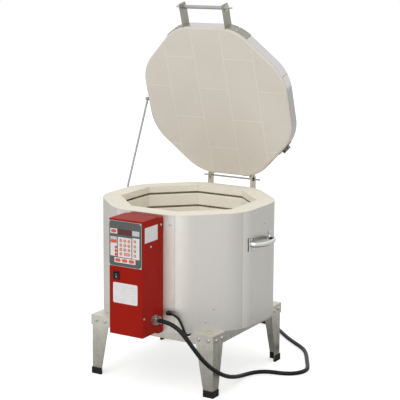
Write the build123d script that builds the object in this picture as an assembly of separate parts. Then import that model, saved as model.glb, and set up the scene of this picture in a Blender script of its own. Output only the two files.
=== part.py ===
from build123d import *
import math
import os

# Electric ceramic kiln with eight sides, top loading, on an angle-iron stand.
# Millimetres. The vertical axis of the chamber is Z, the floor is z = 0, the control box
# faces -Y, the lid hinge is at +Y, and the lid stands open as it is delivered here.

# Brickwork
brick_thickness = 65.0
brick_height = 114.0
brick_joint = 0.5
course_count = 3
chamber_apothem = 215.0
outer_corner_radius = 143.0
slab_thickness = 43.0
groove_mouth = 8.0
groove_lip = 4.0
groove_bevel = 3.0
groove_slot = 12.0
groove_depth = 13.5
groove_drops = (25.5, 74.0)
fit_gap = 0.2

# Sheet metal skins
jacket_sheet = 0.8
pan_sheet = 1.0
band_sheet = 0.8
seam_strip_width = 30.0
seam_strip_sheet = 1.0

# Stand
stand_half = 238.0
stand_height = 206.0
angle_leg = 35.0
angle_sheet = 3.0
rail_mitre_gap = 0.6
leg_top_width = 64.0
leg_foot_width = 33.0
boot_wall = 2.5
boot_height = 22.0
boot_floor = 3.0
stand_bolt_radius = 3.0
stand_bolt_head_radius = 6.5
stand_bolt_head_height = 3.5
stand_bolt_places = (20.0, 56.0)
stand_bolt_drop = 17.0
nut_across_flats = 10.0
nut_height = 5.0

# Lid and hinge
lid_open_angle = 71.5
lid_seat_gap = 0.5
lid_edge_chamfer = 6.0
hinge_behind = 21.2
hinge_above = 24.5
hinge_rod_radius = 3.0
hinge_rod_length = 226.0
hinge_ear_spread = 86.0
hinge_slot_lift = 8.0
running_clearance = 0.05
ear_sheet = 3.0
ear_round = 19.0
lid_ear_round = 13.0
ear_side_gap = 1.0
clip_radius = 6.0
clip_width = 1.5
body_strap_width = 27.0
body_strap_drop = 95.0
lid_strap_width = 28.0
band_lug_foot = 21.0
band_lug_gap = 14.0
band_lug_sheet = 2.0
band_lug_reach = 12.0
band_lug_shift = 48.0
band_lug_margin = 4.0
band_screw_radius = 2.5
band_screw_head = 4.5

# Lid handle
handle_reach = 64.0
handle_ear_spread = 83.0
handle_wrap_end = 156.0
handle_tip = 17.0
handle_ear_low = 1.0
handle_ear_high = 3.0
handle_ear_slant = (4.0, 7.0)
handle_ear_corner = 24.0
handle_strap_margin = 2.0
grip_radius = 6.3
handle_rod_radius = 3.0
handle_rod_length = 216.0
handle_washer_radius = 12.0
handle_washer_sheet = 1.6

# Lid prop
prop_plane = 299.0
prop_rod_radius = 3.5
prop_rod_tail = 30.0
prop_pivot_forward = 287.0
guide_drop_below_rim = 92.8
prop_pin_radius = 3.0
prop_eye_radius = 6.5
prop_eye_width = 7.4
guide_block_size = 18.0
guide_block_width = 14.0
guide_trunnion_radius = 4.0
guide_boss_radius = 11.0
guide_bore_clearance = 0.5
prop_catch_depth = 1.5
prop_plate_sheet = 3.0
pivot_plate = (30.0, 26.0)
pivot_shoulder_radius = 5.0
pivot_head_radius = 5.5
pivot_screw_spread = 10.5
guide_plate = (36.0, 40.0)
guide_screw_spread = (12.5, 15.0)

# Side handles
side_handle_spacing = 131.0
side_handle_centre_y = -8.5
side_handle_drop = 113.0
side_handle_reach = 40.0
side_handle_plate = (24.0, 45.0, 3.0)
side_handle_section = (16.0, 9.0)
side_handle_bends = (22.0, 62.0, 220.0, 62.0, 22.0)
side_handle_screw_rise = 15.5

# Control box
box_centre_x = 13.0
box_width = 124.5
box_depth = 122.5
box_rise = 10.0
box_drop = 2.0
box_sheet = 1.2
tray_depth = 27.0
tray_rise = 2.5
tray_drop = 5.5
tray_lip = 10.0
cover_gap = 0.3
front_screw_back = 10.5
front_screw_rise = 61.0
middle_screw_back = 49.5
middle_screw_drop = 88.0
tray_screw_drop = 27.5
tray_screw_rise = 23.0

# Controller panel on the box front
panel_width = 122.0
panel_height = 146.0
panel_drop = 5.0
panel_sheet = 2.0
overlay_sheet = 0.6
overlay_margin = 5.0
display_size = (51.0, 17.0)
display_sheet = 1.2
round_key = (9.6, 9.6)
wide_key = (23.0, 9.0)
oval_key = (20.0, 10.0)
key_height = 0.7

# Places on the panel, as shares of its width right of the middle and of its height downwards
display_place = (-0.008, 0.238)
pad_place = (-0.351, 0.232)
keypad_columns = (-0.134, -0.009, 0.116)
keypad_rows = (0.425, 0.527, 0.623)
last_row = 0.719
last_wide_column = 0.056
left_wide_place = (-0.355, 0.457)
left_column = -0.287
left_rows = (0.585, 0.664, 0.743)
right_column = 0.297
right_rows = (0.410, 0.520, 0.620, 0.722)
bottom_row = 0.862
bottom_columns = (-0.225, -0.016, 0.193)

# Parts inside the box
board_size = (104.0, 128.0, 1.6)
board_parts = [
    (-30, 40, 26, 20, 14), (15, 30, 40, 24, 5), (-25, -20, 16, 30, 12), (20, -25, 24, 30, 9),
]
board_setback = 8.0
standoff_radius = 3.0
standoff_inset = 5.0
transformer_place = (-44.0, 131.5)
transformer_core = (30.0, 44.0, 36.0)
transformer_winding = (22.0, 32.0, 46.0)
relay_x = 43.0
relay_rises = (81.5, 241.5)
relay_base = (30.0, 46.0, 30.0)
relay_cap = (24.0, 34.0, 42.0)
supply_rise = 15.5
supply_size = (90.0, 18.0, 24.0)
supply_wells = (-30.0, 0.0, 30.0)
supply_well_radius = 4.0
supply_well_depth = 6.0

# Rocker switch and plates on the box
rocker_left = 35.0
rocker_drop = 182.0
rocker_bezel = (24.0, 26.0, 2.5)
rocker_paddle = (17.0, 19.0)
rocker_body_depth = 24.0
rocker_clearance = 0.35
rocker_pin_radius = 1.5
front_plate_size = (92.0, 66.0)
front_plate_left = 1.5
front_plate_drop = 238.0
side_plate_size = (74.0, 49.0)
side_plate_back = 51.5
side_plate_drop = 47.0
plate_sheet = 0.5

# Power entry
connector_back = 69.5
connector_rise = 45.0
connector_nipple_radius = 11.0
connector_flange_radius = 17.0
connector_flange_width = 5.0
connector_length = 18.5
clamp_size = (12.0, 30.0, 13.0)
cord_radius = 7.0
plug_size = (40.0, 50.0, 26.0)
plug_blade = (7.0, 20.0, 1.8)

# Floor sensor lead
lead_radius = 4.0
lead_bushing_angle = -75.0
lead_bushing_rise = 67.0
lead_bushing_radius = 7.5
lead_notch_x = 145.5
lead_notch_width = 11.0
lead_gland_drop = 9.0
lead_run = ((16.5, 6.0, 54.0), (7.5, 13.0, 32.0), (1.5, 16.0, 11.0), (0.0, 24.5, -3.0))
cutout_size = (44.0, 40.0, 24.0)

# Heating elements, terminals and thermocouple
element_radius = 4.5
terminal_half_spacing = 20.0
insulator_radius = 5.0
terminal_pin_radius = 1.6
terminal_length = 14.0
thermocouple_radius = 4.0
thermocouple_reach = 25.0
thermocouple_drop = 168.0
hole_clearance = 0.5

# Jacket screws: direction, distance along the face, and drop from the rim or rise from the stand
upper_screws = ((0, 20.0, 57.0), (180, -20.0, 57.0), (-73.2, 0.0, 31.0), (-106.8, 0.0, 31.0),
                (-135, 22.0, 74.0))
lower_screws = ((-45, 15.5, 76.0), (-45, -11.5, 34.0), (-135, 11.5, 34.0))

# Small screws
screw_head_radius = 4.0
screw_head_height = 2.4
screw_shank_radius = 1.8
screw_length = 8.0
box_screw_length = 4.0
clamp_screw_length = 16.0
panel_head_radius = 2.6
panel_head_height = 1.6
panel_shank_radius = 1.2
panel_screw_length = 6.0

# Sizes that follow from the ones above
brick_apothem = chamber_apothem + brick_thickness
jacket_inner = brick_apothem + fit_gap
jacket_outer = jacket_inner + jacket_sheet
floor_slab_bottom = stand_height + pan_sheet
wall_bottom = floor_slab_bottom + slab_thickness
course_pitch = brick_height + brick_joint
rim_z = wall_bottom + course_count * course_pitch - brick_joint
lid_bottom = rim_z + lid_seat_gap
lid_top = lid_bottom + slab_thickness
band_bottom = lid_bottom + lid_edge_chamfer
band_outer = jacket_inner + band_sheet
hinge_y = jacket_outer + hinge_behind
hinge_z = rim_z + hinge_above
box_bottom = stand_height + box_rise
box_top = rim_z - box_drop
tray_bottom = stand_height + tray_rise
tray_top = rim_z - tray_drop
box_back_y = -jacket_outer
box_front_y = box_back_y - box_depth
tray_front_y = box_back_y - tray_depth
box_left = box_centre_x - box_width / 2
box_right = box_centre_x + box_width / 2
panel_face_y = box_front_y - panel_sheet
overlay_face_y = panel_face_y - overlay_sheet
panel_top = box_top - panel_drop
rocker_x = box_centre_x - rocker_left
rocker_z = box_top - rocker_drop
connector_y = box_front_y + connector_back
connector_z = box_bottom + connector_rise
side_handle_z = rim_z - side_handle_drop
lead_bushing_z = stand_height + lead_bushing_rise
lead_gland_z = stand_height - lead_gland_drop
thermocouple_z = rim_z - thermocouple_drop
element_apothem = chamber_apothem + (groove_lip + groove_depth) / 2
course_tops = [rim_z - course * course_pitch for course in range(course_count)]
groove_levels = [top - drop for top in course_tops for drop in groove_drops]
terminal_xs = (box_centre_x - terminal_half_spacing, box_centre_x + terminal_half_spacing)

LOW = (Align.CENTER, Align.CENTER, Align.MIN)
hinge_axis = Axis((0, hinge_y, hinge_z), (1, 0, 0))


def block(x0, x1, y0, y1, z0, z1):
    """Box between two corners."""
    size = (abs(x1 - x0), abs(y1 - y0), abs(z1 - z0))
    return Pos((x0 + x1) / 2, (y0 + y1) / 2, (z0 + z1) / 2) * Box(*size)


def bar(start, end, radius):
    """Round bar from one point to another."""
    run = Vector(*end) - Vector(*start)
    return Plane(origin=start, z_dir=run) * Cylinder(radius, run.length, align=LOW)


def octagon(apothem, corner=0.0):
    """Eight-sided face with flats towards +-X and +-Y and rounded corners."""
    reach = apothem / math.cos(math.radians(22.5))
    angles = [math.radians(22.5 + 45 * k) for k in range(8)]
    corners = [(reach * math.cos(a), reach * math.sin(a)) for a in angles]
    face = make_face(Polyline(*corners, close=True))
    if corner > 0:
        face = fillet(face.vertices(), corner)
    return face


def slab(apothem, corner, bottom, top):
    """Eight-sided plate between two levels."""
    return Pos(0, 0, bottom) * extrude(octagon(apothem, corner), top - bottom)


def ring(inner, inner_corner, outer, outer_corner, bottom, top):
    """Eight-sided wall between two levels."""
    hole = slab(inner, inner_corner, bottom - 1, top + 1)
    return slab(outer, outer_corner, bottom, top) - hole


def skin(inner_apothem, sheet, bottom, top):
    """Sheet wrapped round the brickwork."""
    corner = outer_corner_radius + inner_apothem - brick_apothem
    return ring(inner_apothem, corner, inner_apothem + sheet, corner + sheet, bottom, top)


def on_jacket(angle, along, z, apothem=jacket_outer):
    """Point on the skin whose outward normal has this angle, and that normal."""
    turn = math.radians(angle)
    normal = Vector(math.cos(turn), math.sin(turn), 0)
    tangent = Vector(-math.sin(turn), math.cos(turn), 0)
    if angle % 45 == 0:
        return normal * apothem + tangent * along + Vector(0, 0, z), normal
    corner = outer_corner_radius + apothem - brick_apothem
    middle = math.radians(45 * math.floor(angle / 45) + 22.5)
    reach = (apothem - corner) / math.cos(math.radians(22.5))
    centre = Vector(reach * math.cos(middle), reach * math.sin(middle), z)
    return centre + normal * corner, normal


def screws(seats, length=screw_length):
    """Domed screws with their heads sitting on a surface and their shanks going in."""
    head = Cylinder(screw_head_radius, screw_head_height, align=LOW)
    head = fillet(head.edges().sort_by(Axis.Z)[-1], screw_head_height * 0.8)
    shank = Pos(0, 0, -length) * Cylinder(screw_shank_radius, length, align=LOW)
    return [Plane(origin=point, z_dir=outward) * (head + shank) for point, outward in seats]


def drilled(shape, seats, length=screw_length, radius=screw_shank_radius):
    """The shape with a hole for the shank of every screw."""
    for point, outward in seats:
        outward = Vector(*outward).normalized()
        start = Vector(*point) + outward * 0.5
        shape -= bar(start, start - outward * (length + 0.5), radius)
    return shape


def mirrored_seats(seats):
    """The screw seats and their mirror images in the YZ plane."""
    seats = [(Vector(*point), Vector(*outward)) for point, outward in seats]
    others = [(Vector(-p.X, p.Y, p.Z), Vector(-n.X, n.Y, n.Z)) for p, n in seats]
    return seats + others


def hex_nut(point, outward, hole_radius):
    """Plain nut sitting on a surface with its hole along the outward direction."""
    profile = RegularPolygon(nut_across_flats / 2, 6, major_radius=False)
    nut = extrude(profile, nut_height) - Cylinder(hole_radius, 3 * nut_height)
    return Plane(origin=point, z_dir=outward) * nut


def opened(shape):
    """Turn a piece of the closed lid about the hinge to the open position."""
    return shape.rotate(hinge_axis, -lid_open_angle)


def opened_point(x, y, z):
    """Where a point of the closed lid lies when the lid is open."""
    turn = math.radians(lid_open_angle)
    back = y - hinge_y
    up = z - hinge_z
    open_y = hinge_y + back * math.cos(turn) + up * math.sin(turn)
    open_z = hinge_z - back * math.sin(turn) + up * math.cos(turn)
    return Vector(x, open_y, open_z)


def both_sides(shape):
    """The piece and its mirror image in the YZ plane."""
    return [shape, shape.mirror(Plane.YZ)]


def save(name, *shapes):
    """Write one node, with every separate piece of it as a solid."""
    solids = []
    for shape in shapes:
        solids += list(shape.solids())
    export_step(Compound(solids), os.path.join("parts", name + ".step"))
    volume = sum(solid.volume for solid in solids) / 1000
    print(name, len(solids), "solids", round(volume, 1), "cm3")


# Brickwork

def feed_holes(radius):
    """Straight holes through the front wall for the element ends."""
    holes = []
    for z in groove_levels:
        for x in terminal_xs:
            holes.append(bar((x, -chamber_apothem + 1, z), (x, box_back_y - 2, z), radius))
    return holes


def groove(level):
    """Element groove: a narrow mouth with a bevelled lower lip and a wider slot behind."""
    low = level - groove_mouth / 2
    mouth = slab(chamber_apothem + groove_depth, 0, low, level + groove_mouth / 2)
    slot = slab(chamber_apothem + groove_depth, 0, level - groove_slot / 2,
                level + groove_slot / 2)
    slot -= slab(chamber_apothem + groove_lip, 0, level - groove_slot, level + groove_slot)
    bevel = Pos(0, 0, low - groove_bevel) * extrude(octagon(chamber_apothem), groove_bevel,
                                                    taper=-45)
    return mouth + slot + bevel


def wall_course(index):
    """One course of eight wedge-cut bricks with two element grooves."""
    top = course_tops[index]
    bottom = top - brick_height
    wall = ring(chamber_apothem, 0, brick_apothem, outer_corner_radius, bottom, top)
    for drop in groove_drops:
        wall -= groove(top - drop)
    saw = brick_joint / 2
    reach = brick_apothem * 1.2
    for side in range(8):
        cut = block(0, reach, -saw, saw, bottom - 1, top + 1)
        wall -= Rot(0, 0, 22.5 + 45 * side) * cut
    for hole in feed_holes(insulator_radius + hole_clearance):
        wall -= hole
    sensor_start = (box_centre_x, -chamber_apothem + 1, thermocouple_z)
    sensor_end = (box_centre_x, box_back_y, thermocouple_z)
    wall -= bar(sensor_start, sensor_end, thermocouple_radius + hole_clearance)
    near = [seat for seat in body_screw_seats() if bottom - 5 < Vector(*seat[0]).Z < top + 5]
    return drilled(wall, near)


def floor_slab():
    """Cemented brick slab that the walls stand on."""
    body = slab(brick_apothem, outer_corner_radius, floor_slab_bottom, wall_bottom - fit_gap)
    near = [seat for seat in body_screw_seats() if Vector(*seat[0]).Z < wall_bottom + 5]
    return drilled(body, near)


def floor_pan():
    """Sheet tray under the floor slab."""
    return slab(brick_apothem, outer_corner_radius, stand_height, floor_slab_bottom)


def jacket():
    """Stainless skin round floor and walls."""
    shell = skin(jacket_inner, jacket_sheet, stand_height, rim_z - 1)
    for hole in feed_holes(insulator_radius + hole_clearance):
        shell -= hole
    sensor_start = (box_centre_x, -chamber_apothem, thermocouple_z)
    sensor_end = (box_centre_x, box_back_y - 2, thermocouple_z)
    shell -= bar(sensor_start, sensor_end, thermocouple_radius + hole_clearance)
    return drilled(shell, body_screw_seats())


def jacket_seam():
    """Cover strip over the joint of the jacket at the back."""
    half = seam_strip_width / 2
    back = jacket_outer + seam_strip_sheet
    strip = block(-half, half, jacket_outer, back, stand_height + 4, rim_z - 8)
    return drilled(strip, seam_screw_seats())


def jacket_screw_seats():
    """Small screws that hold the jacket, in the photographed and matching places."""
    seats = [on_jacket(angle, along, rim_z - drop) for angle, along, drop in upper_screws]
    seats += [on_jacket(angle, along, stand_height + rise)
              for angle, along, rise in lower_screws]
    return seats


def seam_screw_seats():
    """Row of screws down the seam at the back."""
    span = rim_z - stand_height - 60
    levels = [stand_height + 28 + step * span / 4 for step in range(5)]
    back = jacket_outer + seam_strip_sheet
    return [((0, back, z), (0, 1, 0)) for z in levels]


def body_screw_seats():
    """Every screw that goes into the kiln body."""
    seats = jacket_screw_seats() + seam_screw_seats() + strap_screw_seats()
    return seats + side_handle_seats(1) + side_handle_seats(-1) + guide_screw_seats()


# Heating

def element_rings():
    """Plain tube in each groove, standing for the wound element wire."""
    rings = []
    for z in groove_levels:
        hole = slab(element_apothem - element_radius, 0, z - groove_slot, z + groove_slot)
        outer = slab(element_apothem + element_radius, 0, z - element_radius,
                     z + element_radius)
        rings.append(outer - hole)
    return rings


def terminal_pins():
    """Straight element ends that run out through the front wall."""
    start = -(element_apothem + element_radius)
    end = box_back_y - 8 - terminal_length / 2
    pins = []
    for z in groove_levels:
        for x in terminal_xs:
            pins.append(bar((x, start, z), (x, end, z), terminal_pin_radius))
    return pins


def terminal_insulators():
    """Ceramic tubes round the element ends."""
    start = -(chamber_apothem + groove_depth)
    end = box_back_y - 8
    tubes = []
    for z in groove_levels:
        for x in terminal_xs:
            outer = bar((x, start, z), (x, end, z), insulator_radius)
            bore = bar((x, start + 1, z), (x, end - 1, z), terminal_pin_radius + fit_gap)
            tubes.append(outer - bore)
    return tubes


def terminal_connectors():
    """Brass clamps on the element ends inside the control box."""
    start = box_back_y - 8
    clamps = []
    for z in groove_levels:
        for x in terminal_xs:
            outer = bar((x, start, z), (x, start - terminal_length, z), insulator_radius)
            socket_end = (x, start - terminal_length / 2, z)
            clamps.append(outer - bar((x, start + 1, z), socket_end, terminal_pin_radius))
    return clamps


def thermocouple():
    """Sheathed sensor that reaches into the chamber, with its terminal head."""
    tip = (box_centre_x, -chamber_apothem + thermocouple_reach, thermocouple_z)
    seat = box_back_y - box_sheet - 1
    rod = bar(tip, (box_centre_x, seat, thermocouple_z), thermocouple_radius)
    half = 15
    left = box_centre_x - half
    right = box_centre_x + half
    head = block(left, right, seat - 14, seat, thermocouple_z - 9, thermocouple_z + 9)
    return rod + head


# Stand

def rail(direction):
    """Angle-iron rail for one side, mitred at both ends."""
    outer = -stand_half
    face = block(-stand_half, stand_half, outer, outer + angle_sheet,
                 stand_height - angle_leg, stand_height)
    shelf = block(-stand_half, stand_half, outer, outer + angle_leg,
                  stand_height - angle_sheet, stand_height)
    body = face + shelf
    reach = 2 * stand_half
    half_gap = rail_mitre_gap / 2
    for side in (-1, 1):
        corner = Pos(side * (stand_half - half_gap), -stand_half, stand_height)
        cut = corner * Rot(0, 0, side * 45) * Pos(side * reach / 2, 0, 0)
        body -= cut * Box(reach, 2 * reach, 4 * angle_leg)
    for place in stand_bolt_places:
        for side in (-1, 1):
            x = side * (stand_half - place)
            z = stand_height - stand_bolt_drop
            body -= bar((x, outer - 1, z), (x, outer + 10, z), stand_bolt_radius + fit_gap)
    if direction == 0:
        notch_bottom = stand_height - 15
        body -= block(lead_notch_x - lead_notch_width / 2, lead_notch_x + lead_notch_width / 2,
                      outer - 1, outer + 14, notch_bottom, stand_height + 1)
    return Rot(0, 0, 90 * direction) * body


def leg_outline(width_top, width_foot, bottom, top):
    """One flange of a leg, seen square on, with its outer corner at x = 0."""
    step = stand_height - angle_leg
    points = [(0, bottom), (width_foot, bottom), (width_top, step), (width_top, top), (0, top)]
    return make_face(Polyline(*points, close=True))


def leg(direction):
    """Bent angle leg that tapers to its foot."""
    outer = stand_half - angle_sheet
    top = stand_height - angle_sheet
    outline = leg_outline(leg_top_width, leg_foot_width, boot_floor, top)
    flange = Plane.XZ * extrude(outline, -angle_sheet)
    other = Plane.YZ * extrude(outline, angle_sheet)
    body = Pos(-outer, -outer, 0) * (flange + other)
    for place in stand_bolt_places:
        x = -stand_half + place
        z = stand_height - stand_bolt_drop
        radius = stand_bolt_radius + fit_gap
        body -= bar((x, -outer - 1, z), (x, -outer + 10, z), radius)
        body -= bar((-outer - 1, x, z), (-outer + 10, x, z), radius)
    return Rot(0, 0, 90 * direction) * body


def boot(direction):
    """Rubber boot pushed over the end of a leg."""
    outer = stand_half - angle_sheet
    far = leg_foot_width + boot_wall
    near = -boot_wall
    inside = angle_sheet + boot_wall
    shape = block(near, far, near, inside, 0, boot_height)
    shape += block(near, inside, near, far, 0, boot_height)
    taper = (leg_top_width - leg_foot_width) / (stand_height - angle_leg - boot_floor)
    pocket_width = leg_foot_width + taper * boot_height
    pocket = block(0, pocket_width, 0, angle_sheet, boot_floor, boot_height + 1)
    pocket += block(0, angle_sheet, 0, pocket_width, boot_floor, boot_height + 1)
    return Rot(0, 0, 90 * direction) * Pos(-outer, -outer, 0) * (shape - pocket)


def stand_bolt_seats():
    """Outer face point and outward direction of each stand bolt."""
    seats = []
    z = stand_height - stand_bolt_drop
    for direction in range(4):
        turn = math.radians(90 * direction)
        outward = Vector(math.sin(turn), -math.cos(turn), 0)
        across = Vector(math.cos(turn), math.sin(turn), 0)
        for place in stand_bolt_places:
            for side in (-1, 1):
                offset = across * (side * (stand_half - place))
                seats.append((outward * stand_half + offset + Vector(0, 0, z), outward))
    return seats


def stand_bolts():
    """Round-headed bolts through rail and leg."""
    bolts = []
    length = 2 * angle_sheet + nut_height + 2
    for point, outward in stand_bolt_seats():
        head = Cylinder(stand_bolt_head_radius, stand_bolt_head_height, align=LOW)
        head = fillet(head.edges().sort_by(Axis.Z)[-1], stand_bolt_head_height * 0.8)
        shank = Pos(0, 0, -length) * Cylinder(stand_bolt_radius, length, align=LOW)
        bolts.append(Plane(origin=point, z_dir=outward) * (head + shank))
    return bolts


def stand_nuts():
    """Nuts behind the leg flanges."""
    nuts = []
    for point, outward in stand_bolt_seats():
        inside = point - outward * (2 * angle_sheet)
        nuts.append(hex_nut(inside, outward * -1, stand_bolt_radius))
    return nuts


# Lid, as it lies when closed, then opened

def lid_slab():
    """Cemented brick slab of the lid with a chamfered lower edge."""
    body = slab(brick_apothem, outer_corner_radius, lid_bottom, lid_top)
    lower = body.faces().sort_by(Axis.Z)[0]
    body = chamfer(lower.edges(), lid_edge_chamfer - 0.5)
    return opened(drilled(body, lid_screw_seats()))


def lid_band():
    """Stainless band round the edge of the lid."""
    band = skin(jacket_inner, band_sheet, band_bottom, lid_top)
    return opened(drilled(band, lid_screw_seats()))


def lid_screw_seats():
    """Every screw that goes into the closed lid."""
    return hinge_bracket_seats() + handle_screw_seats() + pivot_screw_seats()


def band_clamp_place():
    """Middle of the band clamp on the band, with X outwards and Y along the face."""
    return Rot(0, 0, 45) * Pos(band_outer, -band_lug_shift, 0)


def band_screw_line():
    """How far out and how high the screw of the band clamp lies."""
    return band_lug_reach * 0.6, (band_bottom + lid_top) / 2 - 1


def lid_band_clamp():
    """Two bent lugs of the band, on the back right face."""
    low = band_bottom + band_lug_margin
    high = lid_top - band_lug_margin
    corner = outer_corner_radius + band_outer - brick_apothem
    wrap = ring(band_outer, corner, band_outer + band_lug_sheet, corner + band_lug_sheet, low,
                high)
    out, z = band_screw_line()
    hole = bar((out, -band_lug_gap, z), (out, band_lug_gap, z), band_screw_radius)
    lugs = []
    for side in (-1, 1):
        near = side * band_lug_gap / 2
        far = side * (band_lug_gap / 2 + band_lug_foot)
        foot = wrap & band_clamp_place() * block(-band_lug_foot, band_lug_foot, near, far, low,
                                                 high)
        upright = block(-1, band_lug_reach, near, near + side * band_lug_sheet, low, high)
        lug = foot + band_clamp_place() * (upright - hole)
        lug -= slab(band_outer, corner, low - 9, high + 9)
        lugs.append(opened(lug))
    return lugs


def lid_clamp_screw():
    """Screw and nut that pull the band tight."""
    out, z = band_screw_line()
    seat = band_lug_gap / 2 + band_lug_sheet
    shank = bar((out, -seat, z), (out, seat + 8, z), band_screw_radius)
    head = bar((out, -seat, z), (out, -seat - 3, z), band_screw_head)
    nut = bar((out, seat, z), (out, seat + 3, z), band_screw_head)
    return opened(band_clamp_place() * (shank + head + nut))


def lid_hinge_bracket():
    """Right bracket on the lid band with the ear that carries the hinge rod."""
    ear_inner = hinge_ear_spread - ear_sheet / 2 - ear_side_gap - ear_sheet
    ear_outer = ear_inner + ear_sheet
    low = band_bottom + handle_strap_margin
    high = lid_top - handle_strap_margin
    foot_face = band_outer + ear_sheet
    corner = outer_corner_radius + band_outer - brick_apothem
    wrap = ring(band_outer, corner, foot_face, corner + ear_sheet, low, high)
    foot = wrap & block(ear_outer - lid_strap_width, ear_outer, 0, jacket_outer + 20, low, high)
    ear = block(ear_inner, ear_outer, band_outer - 2, hinge_y, hinge_z - lid_ear_round,
                hinge_z + lid_ear_round)
    ear += bar((ear_inner, hinge_y, hinge_z), (ear_outer, hinge_y, hinge_z), lid_ear_round)
    ear -= slab(band_outer, corner, low - 9, high + 9)
    body = foot + ear
    body -= bar((0, hinge_y, hinge_z), (200, hinge_y, hinge_z), hinge_rod_radius)
    return drilled(body, hinge_bracket_seats())


def hinge_bracket_seats():
    """Screws that hold the two hinge brackets to the lid."""
    ear_inner = hinge_ear_spread - ear_sheet / 2 - ear_side_gap - ear_sheet
    x = ear_inner - lid_strap_width / 2 + ear_sheet
    face = band_outer + ear_sheet
    levels = (band_bottom + 9, lid_top - 9)
    return mirrored_seats([surface_seat(x, 1, face, z) for z in levels])


def surface_seat(x, side, apothem, z):
    """Point and normal of the rounded outline at a given x, on the front (-1) or back (1)."""
    corner = outer_corner_radius + apothem - brick_apothem
    reach = (apothem - corner) / math.cos(math.radians(22.5))
    centre_x = reach * math.sin(math.radians(22.5))
    centre_y = reach * math.cos(math.radians(22.5))
    beyond = abs(x) - centre_x
    if beyond <= 0:
        return Vector(x, side * apothem, z), Vector(0, side, 0)
    normal = Vector(beyond / corner, side * math.sqrt(1 - (beyond / corner) ** 2), 0)
    return Vector(centre_x, side * centre_y, z) + normal * corner, normal


def hinge_rod():
    """Rod through all four hinge ears."""
    half = hinge_rod_length / 2
    return bar((-half, hinge_y, hinge_z), (half, hinge_y, hinge_z), hinge_rod_radius)


def hinge_clips():
    """Push-on retaining rings outside the fixed ears."""
    start = hinge_ear_spread + ear_sheet / 2 + ear_side_gap
    disc = bar((start, hinge_y, hinge_z), (start + clip_width, hinge_y, hinge_z), clip_radius)
    disc -= bar((0, hinge_y, hinge_z), (200, hinge_y, hinge_z), hinge_rod_radius)
    return both_sides(disc)


def body_hinge_strap():
    """Right strap on the jacket with the slotted ear that the rod turns in."""
    ear_inner = hinge_ear_spread - ear_sheet / 2
    ear_outer = hinge_ear_spread + ear_sheet / 2
    top = rim_z - 6
    low = top - body_strap_drop
    corner = outer_corner_radius + jacket_outer - brick_apothem
    wrap = ring(jacket_outer, corner, jacket_outer + ear_sheet, corner + ear_sheet, low, top)
    foot = wrap & block(ear_inner, ear_inner + body_strap_width, 0, jacket_outer + 20, low, top)
    stem_back = hinge_y + ear_round
    stem = block(ear_inner, ear_outer, jacket_outer - 6, stem_back, low + 30, top)
    stem -= slab(jacket_outer, corner, low, top + 1)
    riser = block(ear_inner, ear_outer, hinge_y - ear_round, stem_back, top, hinge_z)
    cap = bar((ear_inner, hinge_y, hinge_z), (ear_outer, hinge_y, hinge_z), ear_round)
    body = foot + stem + riser + cap
    hole = hinge_rod_radius + running_clearance
    body -= bar((0, hinge_y, hinge_z), (200, hinge_y, hinge_z), hole)
    raised = hinge_z + hinge_slot_lift
    body -= bar((0, hinge_y, raised), (200, hinge_y, raised), hole)
    body -= block(0, 200, hinge_y - hole, hinge_y + hole, hinge_z, raised)
    return drilled(body, strap_screw_seats())


def strap_screw_seats():
    """Screws that hold the two body straps to the jacket."""
    x = hinge_ear_spread + body_strap_width / 2 + 2
    top = rim_z - 6
    face = jacket_outer + ear_sheet
    levels = (top - 15, top - body_strap_drop / 2, top - body_strap_drop + 12)
    return mirrored_seats([surface_seat(x, 1, face, z) for z in levels])


def lid_handle_bracket():
    """Right bracket that wraps the band and turns out into an ear."""
    low = band_bottom + handle_strap_margin
    high = lid_top - handle_strap_margin
    corner = outer_corner_radius + band_outer - brick_apothem
    foot_face = band_outer + ear_sheet
    wrap = ring(band_outer, corner, foot_face, corner + ear_sheet, low, high)
    ear_inner = handle_ear_spread - ear_sheet / 2
    ear_outer = handle_ear_spread + ear_sheet / 2
    foot = wrap & block(ear_inner, handle_wrap_end, -jacket_outer - 20, 0, low, high)
    root = -band_outer
    tip = root - handle_reach - handle_tip
    ear_low = lid_bottom + handle_ear_low
    ear_high = lid_top + handle_ear_high
    dip, inset = handle_ear_slant
    outline = [(root + 6, ear_low), (tip, ear_low), (tip + dip, ear_high - inset),
               (tip + handle_ear_corner, ear_high), (root + 6, ear_high)]
    ear = Plane.YZ * extrude(make_face(Polyline(*outline, close=True)), ear_sheet)
    ear = Pos(ear_inner, 0, 0) * ear
    ear -= slab(band_outer, corner, low - 9, high + 9)
    body = foot + ear
    rod_y, rod_z = handle_rod_line()
    body -= bar((0, rod_y, rod_z), (200, rod_y, rod_z), handle_rod_radius)
    return drilled(body, handle_screw_seats())


def handle_rod_line():
    """Y and Z of the handle rod with the lid closed."""
    middle = (band_bottom + lid_top) / 2
    return -band_outer - handle_reach, middle


def lid_handle_grip():
    """Grip tube between the two handle ears."""
    y, z = handle_rod_line()
    half = handle_ear_spread - ear_sheet / 2 - fit_gap
    bore = bar((-200, y, z), (200, y, z), handle_rod_radius + fit_gap)
    return opened(bar((-half, y, z), (half, y, z), grip_radius) - bore)


def lid_handle_rod():
    """Threaded rod through the grip and both ears."""
    y, z = handle_rod_line()
    half = handle_rod_length / 2
    return opened(bar((-half, y, z), (half, y, z), handle_rod_radius))


def lid_handle_nuts():
    """Large washers and nuts outside the two handle ears."""
    y, z = handle_rod_line()
    start = handle_ear_spread + ear_sheet / 2
    seat = start + handle_washer_sheet
    washer = bar((start, y, z), (seat, y, z), handle_washer_radius)
    washer -= bar((start - 1, y, z), (seat + 1, y, z), handle_rod_radius)
    nut = hex_nut((seat, y, z), (1, 0, 0), handle_rod_radius)
    return [opened(piece) for shape in (washer, nut) for piece in both_sides(shape)]


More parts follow.
